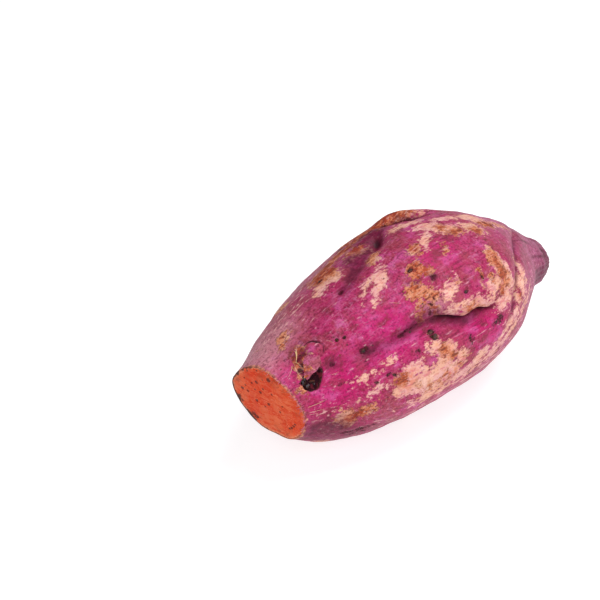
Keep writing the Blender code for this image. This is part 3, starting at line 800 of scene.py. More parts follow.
def make_root(skin_material, flesh_material):
    """The whole root: rings over the face of the cut, then rows over the skin to the tip of the tail."""
    azimuth = np.arange(COLUMNS) * 360.0 / COLUMNS
    shares, run = row_table()
    start_run = np.interp(shares_at_cut(azimuth), shares, run)
    step = (np.arange(SKIN_ROWS) / SKIN_ROWS)[:, None]
    share = np.interp(start_run + step * (run[-1] - start_run), run, shares).ravel()
    around = column_angle(np.tile(azimuth, SKIN_ROWS), distance_along(share))
    relief = relief_at(share, around)
    skin = pressed_flat(plain_place(share, around, relief.height, relief.slip))
    skin = skin.reshape(SKIN_ROWS, COLUMNS, 3)

    face, flat, shrink, middle = cut_face(skin[0])
    rings = np.concatenate((face[::-1], skin))
    tip = plain_place(np.array([1.0]), np.array([0.0]))
    mesh = mesh_of_rings("sweet_potato_skin", to_frame(rings)[None], to_frame(middle[None]), to_frame(tip))
    set_skin_fields(mesh, around, relief)
    set_face_fields(mesh, flat, shrink)

    # The faces inside the rim are flesh, and so is the fan that closes them
    slots = np.zeros(len(mesh.polygons), np.int32)
    slots[: FACE_RINGS * COLUMNS] = 1
    slots[(FACE_RINGS + SKIN_ROWS - 1) * COLUMNS : (FACE_RINGS + SKIN_ROWS) * COLUMNS] = 1
    piece = place_piece("sweet_potato_skin", mesh, (skin_material, flesh_material))
    mesh.polygons.foreach_set("material_index", slots)
    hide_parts("sweet_potato")


# Small loose parts on the skin
def on_skin(along, around):
    """The finished skin's place at each along and around, and the ways out of it, along it and round it.
    The way out is the cross product of a small step round the root and a small step along it."""
    here = skin_points(share_at(along), around)
    ahead = skin_points(share_at(along + 1.2), around) - here
    beside = skin_points(share_at(along), around + 2.5) - here
    out = np.cross(beside, ahead)
    out /= np.linalg.norm(out, axis=-1, keepdims=True)
    ahead /= np.linalg.norm(ahead, axis=-1, keepdims=True)
    return here, out, ahead, np.cross(ahead, out)


def strand_paths(strands, steps=9):
    """Paths that start on the skin, run over it with a steady turn, and rise by lift x t^1.6."""
    rows = np.array([tuple(s) for s in strands], float)
    along, around, heading, length, lift, bend = rows[:, :6].T
    t = np.linspace(0.0, 1.0, steps)
    turn = np.radians(heading[:, None] + bend[:, None] * (t - 0.5))
    step = length[:, None] / (steps - 1)
    u = np.cumsum(np.cos(turn) * step, axis=1) - np.cos(turn[:, :1]) * step
    v = np.cumsum(np.sin(turn) * step, axis=1) - np.sin(turn[:, :1]) * step
    far_along = along[:, None] + u
    far_around = around[:, None] + np.degrees(v / girth_at(along)[:, None])
    here, out, _, _ = on_skin(far_along.ravel(), far_around.ravel())
    shape = (len(strands), steps, 3)
    here, out = here.reshape(shape), out.reshape(shape)
    rise = -0.10 + (lift[:, None] + 0.10) * t**1.6
    return here + out * rise[..., None], out


def make_strands(name, strands, material, columns=6, flat=1.0):
    """Tapered strands: round each path an ellipse of half width w and half thickness flat x w, with w
    falling as 1 - 0.75 t. Their ends are closed in a point."""
    paths, out = strand_paths(strands)
    width = np.array([s.width for s in strands])
    t = np.linspace(0.0, 1.0, paths.shape[1])
    way = np.gradient(paths, axis=1)
    way /= np.linalg.norm(way, axis=-1, keepdims=True)
    side = np.cross(way, out)
    side /= np.linalg.norm(side, axis=-1, keepdims=True)
    up = np.cross(side, way)
    phi = np.arange(columns) * 2.0 * math.pi / columns
    w = width[:, None] * (1.0 - 0.75 * t)
    round_side = w[..., None, None] * np.sin(phi)[:, None] * side[:, :, None]
    round_up = flat * w[..., None, None] * np.cos(phi)[:, None] * up[:, :, None]
    rings = paths[:, :, None] + round_up + round_side
    starts = paths[:, 0] - way[:, 0] * 0.05
    ends = paths[:, -1] + way[:, -1] * 0.1
    mesh = mesh_of_rings(name, to_frame(rings), to_frame(starts), to_frame(ends))
    place_piece(name, mesh, (material,))


def make_lumps(name, lumps, material, seed, rows=7, columns=10):
    """Crumbs half sunk in the skin: on each, an ellipsoid whose radius is 1 + 0.45 x noise."""
    table = np.array([tuple(lump) for lump in lumps], float)
    along, around, length, width, height, turn, sink = table.T
    here, out, ahead, beside = on_skin(along, around)
    c, s = np.cos(np.radians(turn))[:, None], np.sin(np.radians(turn))[:, None]
    first, second = ahead * c - beside * s, beside * c + ahead * s
    theta = (np.arange(rows) + 1.0) / (rows + 1.0) * math.pi
    phi = np.arange(columns) * 2.0 * math.pi / columns
    ring = np.stack(
        (
            np.cos(theta)[:, None] + 0.0 * phi,
            np.sin(theta)[:, None] * np.cos(phi),
            np.sin(theta)[:, None] * np.sin(phi),
        ),
        axis=-1,
    )
    chance = np.random.default_rng(seed).uniform(-30.0, 30.0, (len(lumps), 1, 1, 3))
    rough = layered_noise((ring[None] * 1.4 + chance).reshape(-1, 3), 1.0, seed)
    shaped = ring[None] * (1.0 + 0.45 * rough.reshape(len(lumps), rows, columns, 1))

    def placed(local):
        shape = (len(lumps),) + (1,) * (local.ndim - 2) + (3,)
        spread = local[..., 0:1] * (first * length[:, None]).reshape(shape)
        spread = spread + local[..., 1:2] * (out * height[:, None]).reshape(shape)
        spread = spread + local[..., 2:3] * (second * width[:, None]).reshape(shape)
        return spread + (here - out * sink[:, None]).reshape(shape)

    ends = np.zeros((len(lumps), 1, 3))
    ends[..., 0] = 1.0
    rings = placed(shaped)[:, :, ::-1]
    mesh = mesh_of_rings(name, to_frame(rings), to_frame(placed(ends)[:, 0]), to_frame(placed(-ends)[:, 0]))
    place_piece(name, mesh, (material,))


def make_torn_tongue(material):
    """The tongue of skin torn from the pad over the wound. Across it s runs from -1 to 1 and outward t
    from 0 to 1 between two edges on the skin. It starts under the skin and lifts off it as t grows, with
    a ragged free edge."""
    across = np.linspace(-1.0, 1.0, 25)
    outward = np.linspace(0.0, 1.0, 18)
    s, t = (grid.T.ravel() for grid in np.meshgrid(across, outward))
    root_along, root_around = (a + b * s + c * s * s for a, b, c in TONGUE_ROOT)
    edge_along, edge_around = (a + b * s + c * s * s for a, b, c in TONGUE_EDGE)
    ragged = layered_noise(np.column_stack((s * 3.2, t * 1.5, 0.0 * s)), 1.0, 71)
    t_edge = t * (1.0 + 0.20 * ragged * t)
    along = root_along + (edge_along - root_along) * t_edge + 0.35 * s * ragged
    around = root_around + (edge_around - root_around) * t_edge
    share = share_at(along)
    whole = plain_place(share, around)
    out = whole - plain_place(share, around, -6.0)
    out /= np.linalg.norm(out, axis=-1, keepdims=True)
    side_drop = np.abs(s) ** 5 * (1.0 - t)
    lift = -0.55 * (1.0 - t) ** 3 - 0.5 * side_drop + 0.15 + 0.50 * t**1.5 + 0.20 * ragged * t
    pad_top = PAD_HEIGHT * np.clip(1.0 - 1.1 * t, 0.0, 1.0)
    height = swelling_height(along, around)
    top = plain_place(share, around, height + pad_top + fine_relief(along, around, whole) + lift)
    thick = 0.50 * (1.0 - 0.75 * t**3)[:, None] * (1.0 - 0.8 * np.abs(s[:, None]) ** 6)
    under = top - out * thick
    shape = (len(across), len(outward), 3)
    top, under = top.reshape(shape).swapaxes(0, 1), under.reshape(shape).swapaxes(0, 1)
    rings = np.concatenate((top[:, ::-1], under), axis=1)[::-1]
    middle = rings.mean(axis=1)
    mesh = mesh_of_rings("torn_skin", to_frame(rings)[None], to_frame(middle[:1]), to_frame(middle[-1:]))
    across_rings = s.reshape(len(across), len(outward)).T
    side = np.concatenate((across_rings[:, ::-1], across_rings), axis=1)[::-1].ravel()
    side = np.append(side, (0.0, 0.0))
    set_field(mesh, "rubbed", np.full(len(mesh.vertices), FAR_OUTSIDE))
    set_field(mesh, "scurf", -2.4 * side - 1.4)
    set_field(mesh, "rusty", np.clip(0.2 - side, 0.0, 1.0))
    set_field(mesh, "rim", np.full(len(mesh.vertices), FAR_FROM_CUT))
    set_field(mesh, "dull", np.full(len(mesh.vertices), 0.30))
    place_piece("torn_skin", mesh, (material,))


# Materials
def colour(red, green, blue):
    """A linear colour with no transparency."""
    return (red, green, blue, 1.0)


PURPLE_MAUVE = colour(0.350, 0.040, 0.075)
PURPLE_DEEP = colour(0.400, 0.018, 0.100)
PURPLE_BRIGHT = colour(0.480, 0.004, 0.118)
PURPLE_HOT = colour(0.545, 0.014, 0.165)
PURPLE_GREY = colour(0.560, 0.220, 0.268)
PURPLE_TAIL = colour(0.350, 0.085, 0.180)
PURPLE_PINK = colour(0.560, 0.072, 0.262)
WINE_RED = colour(0.200, 0.018, 0.034)
CREAM = colour(0.830, 0.510, 0.420)
ORANGE = colour(0.680, 0.195, 0.100)
LAVENDER = colour(0.550, 0.170, 0.340)
WINE = colour(0.105, 0.004, 0.028)
WINE_DEEP = colour(0.150, 0.006, 0.028)
WINE_BLACK = colour(0.034, 0.003, 0.010)
PINK_DUST = colour(0.660, 0.190, 0.300)
PALE_PEACH = colour(0.770, 0.420, 0.310)
PALE_PINK = colour(0.745, 0.390, 0.365)
PALE_VEIN = colour(0.600, 0.110, 0.170)
TAN = colour(0.560, 0.128, 0.042)
TAN_LIGHT = colour(0.700, 0.285, 0.155)
RUST = colour(0.340, 0.042, 0.010)
BROWN = colour(0.160, 0.034, 0.018)
BLACK_BROWN = colour(0.018, 0.009, 0.008)
GREY_FLAKE = colour(0.110, 0.090, 0.110)
FLESH = colour(0.610, 0.048, 0.007)
FLESH_DEEP = colour(0.560, 0.026, 0.003)
FLESH_PALE = colour(0.655, 0.105, 0.032)
FLESH_THREAD = colour(0.760, 0.230, 0.115)
VESSEL = colour(0.090, 0.010, 0.005)
CRUST = colour(0.050, 0.014, 0.010)
STRAW = colour(0.620, 0.400, 0.190)
STRAW_DARK = colour(0.260, 0.110, 0.050)


class Wiring:
    """Adds nodes to one tree. An input is given as another node's output, a number or a tuple. A ramp
    rises smoothly between two values, and a tint lays a colour over the paint by such a ramp."""

    def __init__(self, tree):
        self.tree = tree

    def node(self, kind, inputs=(), **settings):
        made = self.tree.nodes.new(kind)
        for name, value in settings.items():
            setattr(made, name, value)
        for key, value in dict(inputs).items():
            if isinstance(value, bpy.types.NodeSocket):
                self.tree.links.new(value, made.inputs[key])
            else:
                made.inputs[key].default_value = value
        return made

    def group(self, tree, **inputs):
        made = self.tree.nodes.new("ShaderNodeGroup")
        made.node_tree = tree
        for name, value in inputs.items():
            socket = made.inputs[name.replace("_", " ")]
            if isinstance(value, bpy.types.NodeSocket):
                self.tree.links.new(value, socket)
            else:
                socket.default_value = value
        return made.outputs

    def maths(self, operation, *values):
        return self.node("ShaderNodeMath", dict(enumerate(values)), operation=operation).outputs[0]

    def vector_maths(self, operation, first, second):
        return self.node("ShaderNodeVectorMath", {0: first, 1: second}, operation=operation).outputs[0]

    def times(self, first, second):
        return self.maths("MULTIPLY", first, second)

    def plus(self, first, second):
        return self.maths("ADD", first, second)

    def larger(self, first, second):
        return self.maths("MAXIMUM", first, second)

    def mix(self, share, first, second):
        inputs = {0: share, 6: first, 7: second}
        return self.node("ShaderNodeMix", inputs, data_type="RGBA").outputs[2]

    def tint(self, paint, colour_over, value, start, stop, share):
        mask = self.times(self.ramp(value, start, stop), share)
        return self.mix(mask, paint, colour_over)

    def ramp(self, value, start, stop, low=0.0, high=1.0):
        inputs = {"Value": value, "From Min": start, "From Max": stop, "To Min": low, "To Max": high}
        return self.node("ShaderNodeMapRange", inputs, interpolation_type="SMOOTHSTEP").outputs[0]

    def stretched(self, place, scale):
        inputs = {"Vector": place, "Scale": scale}
        return self.node("ShaderNodeMapping", inputs, vector_type="POINT").outputs[0]

    def noise(self, place, scale, detail=2.0, roughness=0.5, distortion=0.0):
        inputs = {"Vector": place, "Scale": scale, "Detail": detail, "Roughness": roughness}
        inputs["Distortion"] = distortion
        return self.node("ShaderNodeTexNoise", inputs).outputs[0]

    def field(self, name):
        return self.node("ShaderNodeAttribute", attribute_name=name).outputs["Fac"]


def new_group(name, inputs, outputs):
    """An empty node group with named sockets, its wiring, and the outputs of its input node."""
    tree = bpy.data.node_groups.new(name, "ShaderNodeTree")
    kinds = {"value": "NodeSocketFloat", "vector": "NodeSocketVector", "colour": "NodeSocketColor"}
    for socket_name, kind, value in inputs:
        socket = tree.interface.new_socket(socket_name, in_out="INPUT", socket_type=kinds[kind])
        if value is not None:
            socket.default_value = value
    for socket_name, kind in outputs:
        tree.interface.new_socket(socket_name, in_out="OUTPUT", socket_type=kinds[kind])
    wires = Wiring(tree)
    return wires, wires.node("NodeGroupInput").outputs


def finish_group(wires, **values):
    """Links the group's results to its output node and gives the group back."""
    wires.node("NodeGroupOutput", {name.replace("_", " "): value for name, value in values.items()})
    return wires.tree


def ragged_edge_group():
    """Turns a depth inside a mark into a mask: the depth is pushed in and out by blotches, and by teeth
    that run along the root, and the mask is 1 where what is left is above 0."""
    wires, given = new_group(
        "Ragged edge",
        (
            ("Place", "vector", None),
            ("Depth", "value", -1.0),
            ("Blotch Size", "value", 3.0),
            ("Blotch Push", "value", 3.0),
            ("Tooth Push", "value", 2.0),
            ("Softness", "value", 0.25),
        ),
        (("Mask", "value"), ("Edge", "value")),
    )
    blotch_scale = wires.maths("DIVIDE", 1000.0, given["Blotch Size"])
    blotch = wires.noise(given["Place"], blotch_scale, 5.0, 0.62)
    toothed = wires.stretched(given["Place"], (0.42, 1.0, 1.0))
    tooth = wires.noise(toothed, 1150.0, 3.0, 0.6)
    push = wires.times(wires.plus(blotch, -0.5), given["Blotch Push"])
    push = wires.plus(push, wires.times(wires.plus(tooth, -0.5), given["Tooth Push"]))
    depth = wires.plus(given["Depth"], push)
    low = wires.times(given["Softness"], -0.5)
    high = wires.times(given["Softness"], 0.5)
    edge = wires.ramp(wires.maths("ABSOLUTE", wires.plus(depth, -0.15)), 0.0, 0.45, 1.0, 0.0)
    return finish_group(wires, Mask=wires.ramp(depth, low, high), Edge=edge)


def grain_group():
    """The skin's fine marks: rings as fine as hairs round the root, streaks along it and an even grain."""
    wires, given = new_group(
        "Skin grain",
        (("Place", "vector", None), ("Ring Width", "value", 0.45), ("Grain Size", "value", 0.7)),
        (("Rings", "value"), ("Streaks", "value"), ("Grain", "value")),
    )
    bent = wires.noise(given["Place"], 60.0, 2.0)
    bent = wires.node("ShaderNodeCombineXYZ", {"X": wires.times(bent, 0.006)}).outputs[0]
    place = wires.vector_maths("ADD", given["Place"], bent)
    ring_scale = wires.maths("DIVIDE", 1000.0, given["Ring Width"])
    rings = wires.noise(wires.stretched(place, (1.0, 0.07, 0.07)), ring_scale, 2.0, 0.6)
    streaks = wires.noise(wires.stretched(given["Place"], (0.12, 1.0, 1.0)), 900.0, 3.0, 0.6)
    grain_scale = wires.maths("DIVIDE", 1000.0, given["Grain Size"])
    grain = wires.noise(given["Place"], grain_scale, 3.0, 0.65)
    return finish_group(wires, Rings=rings, Streaks=streaks, Grain=grain)


def speck_group():
    """Small dots in a share of the cells of a jittered grid: a dot is where the cell's middle is near and
    the cell's own chance is under the share."""
    wires, given = new_group(
        "Specks",
        (
            ("Place", "vector", None),
            ("Spacing", "value", 4.0),
            ("Size", "value", 0.12),
            ("Share", "value", 0.5),
        ),
        (("Mask", "value"),),
    )
    scale = wires.maths("DIVIDE", 1000.0, given["Spacing"])
    wobble = wires.node("ShaderNodeTexNoise", {"Vector": given["Place"], "Scale": 1400.0}).outputs[1]
    wobble = wires.vector_maths("MULTIPLY", wobble, (0.0009, 0.0009, 0.0009))
    place = wires.vector_maths("ADD", given["Place"], wobble)
    cells = wires.node("ShaderNodeTexVoronoi", {"Vector": place, "Scale": scale})
    chance = wires.node("ShaderNodeSeparateColor", {"Color": cells.outputs["Color"]}).outputs[0]
    picked = wires.maths("LESS_THAN", chance, given["Share"])
    near = wires.ramp(cells.outputs["Distance"], wires.times(given["Size"], 0.6), given["Size"], 1.0, 0.0)
    return finish_group(wires, Mask=wires.times(near, picked))


def scab_group():
    """Dry dark scab: black brown, browner in grains and grey in flakes, with its own relief."""
    wires, given = new_group(
        "Dark scab",
        (("Place", "vector", None), ("Flake Size", "value", 1.2), ("Greyness", "value", 0.5)),
        (("Color", "colour"), ("Relief", "value")),
    )
    grain = wires.noise(given["Place"], 1600.0, 3.0, 0.6)
    flakes = wires.noise(given["Place"], wires.maths("DIVIDE", 1000.0, given["Flake Size"]), 2.0, 0.5, 0.6)
    paint = wires.mix(wires.ramp(grain, 0.42, 0.66), BLACK_BROWN, BROWN)
    grey = wires.times(wires.ramp(flakes, 0.54, 0.60), given["Greyness"])
    paint = wires.mix(grey, paint, GREY_FLAKE)
    relief = wires.plus(wires.times(flakes, 0.5), wires.times(grain, 0.25))
    return finish_group(wires, Color=paint, Relief=relief)


def new_material(name, **constants):
    """A material with its shader's constant numbers set, its wiring and the places on the piece."""
    material = bpy.data.materials.new(name)
    material.use_nodes = True
    wires = Wiring(material.node_tree)
    shader = material.node_tree.nodes["Principled BSDF"]
    for key, value in constants.items():
        shader.inputs[key.replace("_", " ")].default_value = value
    place = wires.node("ShaderNodeTexCoord").outputs["Object"]
    return material, wires, shader, place


def give_finish(wires, shader, paint, roughness, relief):
    """Feeds the shader its colour and roughness, and a bump whose height is in millimetres."""
    wires.tree.links.new(paint, shader.inputs["Base Color"])
    wires.tree.links.new(roughness, shader.inputs["Roughness"])
    bump = wires.node("ShaderNodeBump", {"Strength": 1.0, "Distance": MM, "Height": relief})
    wires.tree.links.new(bump.outputs["Normal"], shader.inputs["Normal"])


# What the layers of the skin share: the grain's three patterns and five noises
SkinNoise = namedtuple("SkinNoise", "grain mottle clouds spots veil patchy")


def skin_noise(w, place, groups):
    """The noises that all the layers of the skin read."""
    return SkinNoise(
        grain=w.group(groups["grain"], Place=place, Ring_Width=0.5, Grain_Size=0.9),
        mottle=w.noise(place, 120.0, 4.0, 0.6),
        clouds=w.noise(place, 45.0, 3.0, 0.55),
        spots=w.noise(place, 380.0, 3.0, 0.6),
        veil=w.noise(w.stretched(place, (0.7, 1.0, 1.0)), 190.0, 5.0, 0.62, 0.3),
        patchy=w.noise(w.stretched(place, (0.6, 1.0, 1.0)), 520.0, 5.0, 0.70),
    )


def living_purple(w, place, noise):
    """The living colour: mauve red to deep magenta, brightest where it is fresh, mauve with lengthwise
    furrows at the tail, and grey where it is worn."""
    mottle, clouds, veil = noise.mottle, noise.clouds, noise.veil
    paint = w.mix(w.ramp(mottle, 0.40, 0.58), PURPLE_MAUVE, PURPLE_DEEP)
    fresh = w.times(w.field("bright"), w.ramp(mottle, 0.30, 0.55, 0.45, 1.0))
    paint = w.mix(fresh, paint, PURPLE_BRIGHT)
    hot = w.times(w.ramp(w.field("bright"), 0.35, 1.0), w.ramp(w.plus(clouds, veil), 0.98, 1.16))
    paint = w.mix(w.times(hot, 0.7), paint, PURPLE_HOT)
    veiled = w.times(w.ramp(veil, 0.50, 0.66), w.ramp(clouds, 0.36, 0.60, 0.20, 0.85))
    paint = w.mix(veiled, paint, PURPLE_PINK)
    paint = w.tint(paint, WINE_RED, veil, 0.45, 0.34, 0.70)
    paint = w.mix(w.times(w.field("tail"), 0.85), paint, PURPLE_TAIL)
    furrows = w.noise(w.stretched(place, (1.0, 0.16, 0.16)), 560.0, 3.0, 0.6, 0.4)
    paint = w.mix(w.times(w.field("tail"), w.ramp(furrows, 0.52, 0.66, 0.0, 0.6)), paint, LAVENDER)
    paint = w.mix(w.times(w.field("tail"), w.ramp(furrows, 0.49, 0.38, 0.0, 0.70)), paint, WINE_RED)
    worn = w.times(w.field("dull"), w.ramp(mottle, 0.3, 0.6, 0.45, 0.95))
    return w.mix(worn, paint, PURPLE_GREY)


def dusted(w, noise, paint):
    """Hair-fine rings, lavender bloom and dust in the grain, thin where the purple is bright, and the
    darker grains and streaks between them."""
    grain, clouds = noise.grain, noise.clouds
    worn_thin = w.maths("SUBTRACT", 1.0, w.times(w.field("bright"), 0.80))
    dusty = w.times(w.ramp(grain["Rings"], 0.54, 0.72), w.ramp(clouds, 0.35, 0.65, 0.05, 0.40))
    paint = w.mix(w.times(dusty, worn_thin), paint, PINK_DUST)
    bloom = w.times(w.ramp(noise.spots, 0.54, 0.68), w.ramp(clouds, 0.40, 0.62, 0.0, 0.50))
    paint = w.mix(w.times(bloom, worn_thin), paint, LAVENDER)
    dust = w.times(w.ramp(grain["Grain"], 0.54, 0.68), 0.30)
    paint = w.mix(w.times(dust, worn_thin), paint, PINK_DUST)
    paint = w.tint(paint, WINE, grain["Grain"], 0.48, 0.34, 0.60)
    paint = w.tint(paint, WINE, grain["Streaks"], 0.46, 0.32, 0.55)
    return w.tint(paint, LAVENDER, grain["Streaks"], 0.56, 0.66, 0.35)


def pale_layer(w, place, groups, noise):
    """The layer under the purple: peach, pink and cream, orange where it is rusty, with purple left in
    its veins and tan flecks."""
    grain, spots = noise.grain, noise.spots
    pale = w.mix(w.ramp(noise.mottle, 0.42, 0.58), PALE_PEACH, PALE_PINK)
    pale = w.tint(pale, CREAM, noise.veil, 0.50, 0.62, 0.8)
    pale = w.mix(w.times(w.field("rusty"), w.ramp(spots, 0.44, 0.58, 0.15, 0.9)), pale, ORANGE)
    pale = w.tint(pale, TAN_LIGHT, noise.patchy, 0.52, 0.64, 0.45)
    pale = w.tint(pale, PALE_VEIN, grain["Streaks"], 0.48, 0.35, 0.62)
    pale = w.tint(pale, TAN, grain["Grain"], 0.46, 0.34, 0.40)
    flecks = w.group(groups["specks"], Place=place, Spacing=1.9, Size=0.17, Share=0.30)["Mask"]
    flecks = w.times(flecks, w.ramp(noise.clouds, 0.40, 0.58, 0.15, 0.85))
    return w.mix(flecks, pale, TAN)


def corky_layer(w, noise, rust_here):
    """Corky scurf: tan, light tan and cream, rust where it is rusty, with dark grains and cracks."""
    grain, patchy = noise.grain, noise.patchy
    light_cork = w.times(w.ramp(patchy, 0.40, 0.56), w.ramp(rust_here, 0.2, 1.0, 1.0, 0.40))
    cork = w.mix(light_cork, TAN, TAN_LIGHT)
    creamy = w.times(w.ramp(noise.veil, 0.50, 0.62), w.ramp(rust_here, 0.2, 1.0, 0.9, 0.10))
    cork = w.mix(creamy, cork, PALE_PEACH)
    rusty = w.times(rust_here, w.ramp(w.plus(patchy, w.times(noise.spots, 0.6)), 0.93, 0.75))
    cork = w.mix(rusty, cork, RUST)
    cork = w.tint(cork, BROWN, grain["Grain"], 0.46, 0.35, 0.85)
    cork = w.tint(cork, BROWN, w.plus(patchy, grain["Streaks"]), 0.95, 0.83, 0.90)
    return w.tint(cork, PALE_PINK, grain["Streaks"], 0.60, 0.70, 0.6)


def scabbed(w, place, groups, noise, scab, paint):
    """Freckles, and stained pits with scabs in them. Also how much scab is at each place."""
    for spacing, size, share, strength in ((5.0, 0.095, 0.42, 0.8), (2.1, 0.10, 0.12, 0.6)):
        specks = w.group(groups["specks"], Place=place, Spacing=spacing, Size=size, Share=share)["Mask"]
        paint = w.mix(w.times(specks, strength), paint, BROWN)
    dark = w.plus(w.field("dark"), w.times(w.plus(noise.spots, -0.5), 2.2))
    dark = w.plus(dark, w.times(w.plus(noise.grain["Grain"], -0.5), 2.4))
    near_dark = w.ramp(w.field("dark"), 0.0, 0.45)
    stain = w.times(w.ramp(dark, 0.10, 0.75), near_dark)
    paint = w.mix(w.times(stain, 0.75), paint, WINE)
    dark = w.times(w.ramp(dark, 0.38, 0.95), near_dark)
    return w.mix(dark, paint, scab["Color"]), dark


def shaded(w, noise, scab, paint):
    """Painted shade in the hollows, furrows and creases; the groove round the pad, painted wine to black;
    the wound's scab, going to wine black with its depth; and the dried brown and tan edge along the cut.
    Also how much of the wound is at each place."""
    spots = noise.spots
    # Painted shade: wine over the shaded fields, patchy with the spots
    thin = w.ramp(w.plus(spots, w.times(noise.mottle, 0.5)), 0.5, 0.9, 1.0, 0.60)
    paint = w.mix(w.times(w.field("shaded"), thin), paint, WINE)
    # Painted shade at the foot of the creases and in the deep hollows: deep wine, black where it is deepest
    fold = w.plus(w.field("fold"), w.times(w.plus(spots, -0.5), 1.6))
    fold = w.times(w.ramp(fold, 0.25, 0.85), w.ramp(w.field("fold"), 0.0, 0.3))
    deep_shade_paint = w.mix(w.ramp(w.field("fold"), 0.50, 0.95), WINE_DEEP, WINE_BLACK)
    paint = w.mix(w.times(fold, 0.94), paint, deep_shade_paint)
    ring = w.times(w.ramp(w.field("pad_edge"), 0.10, 0.75), w.ramp(spots, 0.34, 0.50, 0.45, 1.0))
    ring_paint = w.mix(w.ramp(w.field("pad_edge"), 0.5, 0.9), WINE, WINE_BLACK)
    paint = w.mix(w.times(ring, 0.95), paint, ring_paint)
    torn = w.ramp(w.field("torn"), 0.03, 0.22)
    wound = w.mix(w.ramp(w.field("torn"), 0.25, 0.60), scab["Color"], WINE_BLACK)
    wound = w.tint(wound, WINE_RED, spots, 0.50, 0.60, 0.8)
    paint = w.mix(torn, paint, wound)
    edge = w.plus(w.field("rim"), w.times(w.plus(noise.grain["Streaks"], -0.5), -2.5))
    edge_paint = w.mix(w.ramp(noise.patchy, 0.4, 0.6), BROWN, TAN_LIGHT)
    return w.tint(paint, edge_paint, edge, 1.1, 0.3, 0.8), torn


def make_skin_material(groups):
    """The purple skin with everything that has happened to it, from the bottom layer up."""
    material, w, shader, place = new_material("Purple skin", Specular_IOR_Level=0.18)
    noise = skin_noise(w, place, groups)
    grain, spots = noise.grain, noise.spots
    paint = dusted(w, noise, living_purple(w, place, noise))

    # Pale streaks where the skin is scuffed lengthwise
    streaky = w.plus(grain["Streaks"], w.times(w.field("streaked"), 0.11))
    streaks = w.ramp(streaky, 0.66, 0.73)
    paint = w.mix(w.times(streaks, 0.75), paint, PALE_PINK)

    # The pale layer shows where the purple is rubbed off, whole in the middle of a patch and broken near
    # its edge
    rub = w.group(
        groups["ragged"],
        Place=place,
        Depth=w.field("rubbed"),
        Blotch_Size=4.0,
        Blotch_Push=9.0,
        Tooth_Push=7.0,
        Softness=1.7,
    )
    through = w.ramp(w.plus(spots, w.times(grain["Grain"], 0.5)), 0.60, 0.72, 0.68, 1.0)
    deep = w.ramp(w.field("rubbed"), 0.8, 3.2, 0.0, 0.92)
    share = w.times(rub["Mask"], w.larger(through, deep))
    paint = w.mix(share, paint, pale_layer(w, place, groups, noise))
    paint = w.mix(w.times(rub["Edge"], w.ramp(spots, 0.45, 0.60, 0.0, 0.5)), paint, PALE_PINK)

    # The cork lies over that, with a pale brim
    crust = w.group(
        groups["ragged"],
        Place=place,
        Depth=w.field("scurf"),
        Blotch_Size=3.0,
        Blotch_Push=8.0,
        Tooth_Push=6.5,
        Softness=1.6,
    )
    rust_here = w.larger(w.field("rusty"), 0.20)
    paint = w.mix(w.times(crust["Mask"], 0.92), paint, corky_layer(w, noise, rust_here))
    brim = w.times(w.ramp(spots, 0.42, 0.60), w.ramp(rust_here, 0.2, 1.0, 0.60, 0.25))
    paint = w.mix(w.times(crust["Edge"], brim), paint, PALE_PEACH)

    scab = w.group(groups["scab"], Place=place, Flake_Size=1.3, Greyness=0.35)
    paint, dark = scabbed(w, place, groups, noise, scab, paint)
    paint, torn = shaded(w, noise, scab, paint)

    # Worn, corky and scabbed places are rougher, and stand higher or lower than the skin
    worn = w.larger(w.larger(rub["Mask"], crust["Mask"]), w.larger(dark, torn))
    roughness = w.ramp(w.plus(w.times(worn, 0.7), w.times(grain["Grain"], 0.6)), 0.15, 1.2, 0.46, 0.88)
    relief = w.plus(w.times(grain["Rings"], 0.12), w.times(grain["Grain"], 0.20))
    relief = w.plus(relief, w.plus(w.times(noise.mottle, 0.5), w.times(spots, 0.20)))
    relief = w.plus(relief, w.times(rub["Mask"], -0.10))
    relief = w.plus(relief, w.times(crust["Mask"], w.times(noise.patchy, 0.45)))
    relief = w.plus(relief, w.times(w.larger(dark, torn), scab["Relief"]))
    relief = w.plus(relief, w.times(streaks, 0.05))
    give_finish(w, shader, paint, roughness, relief)
    return material


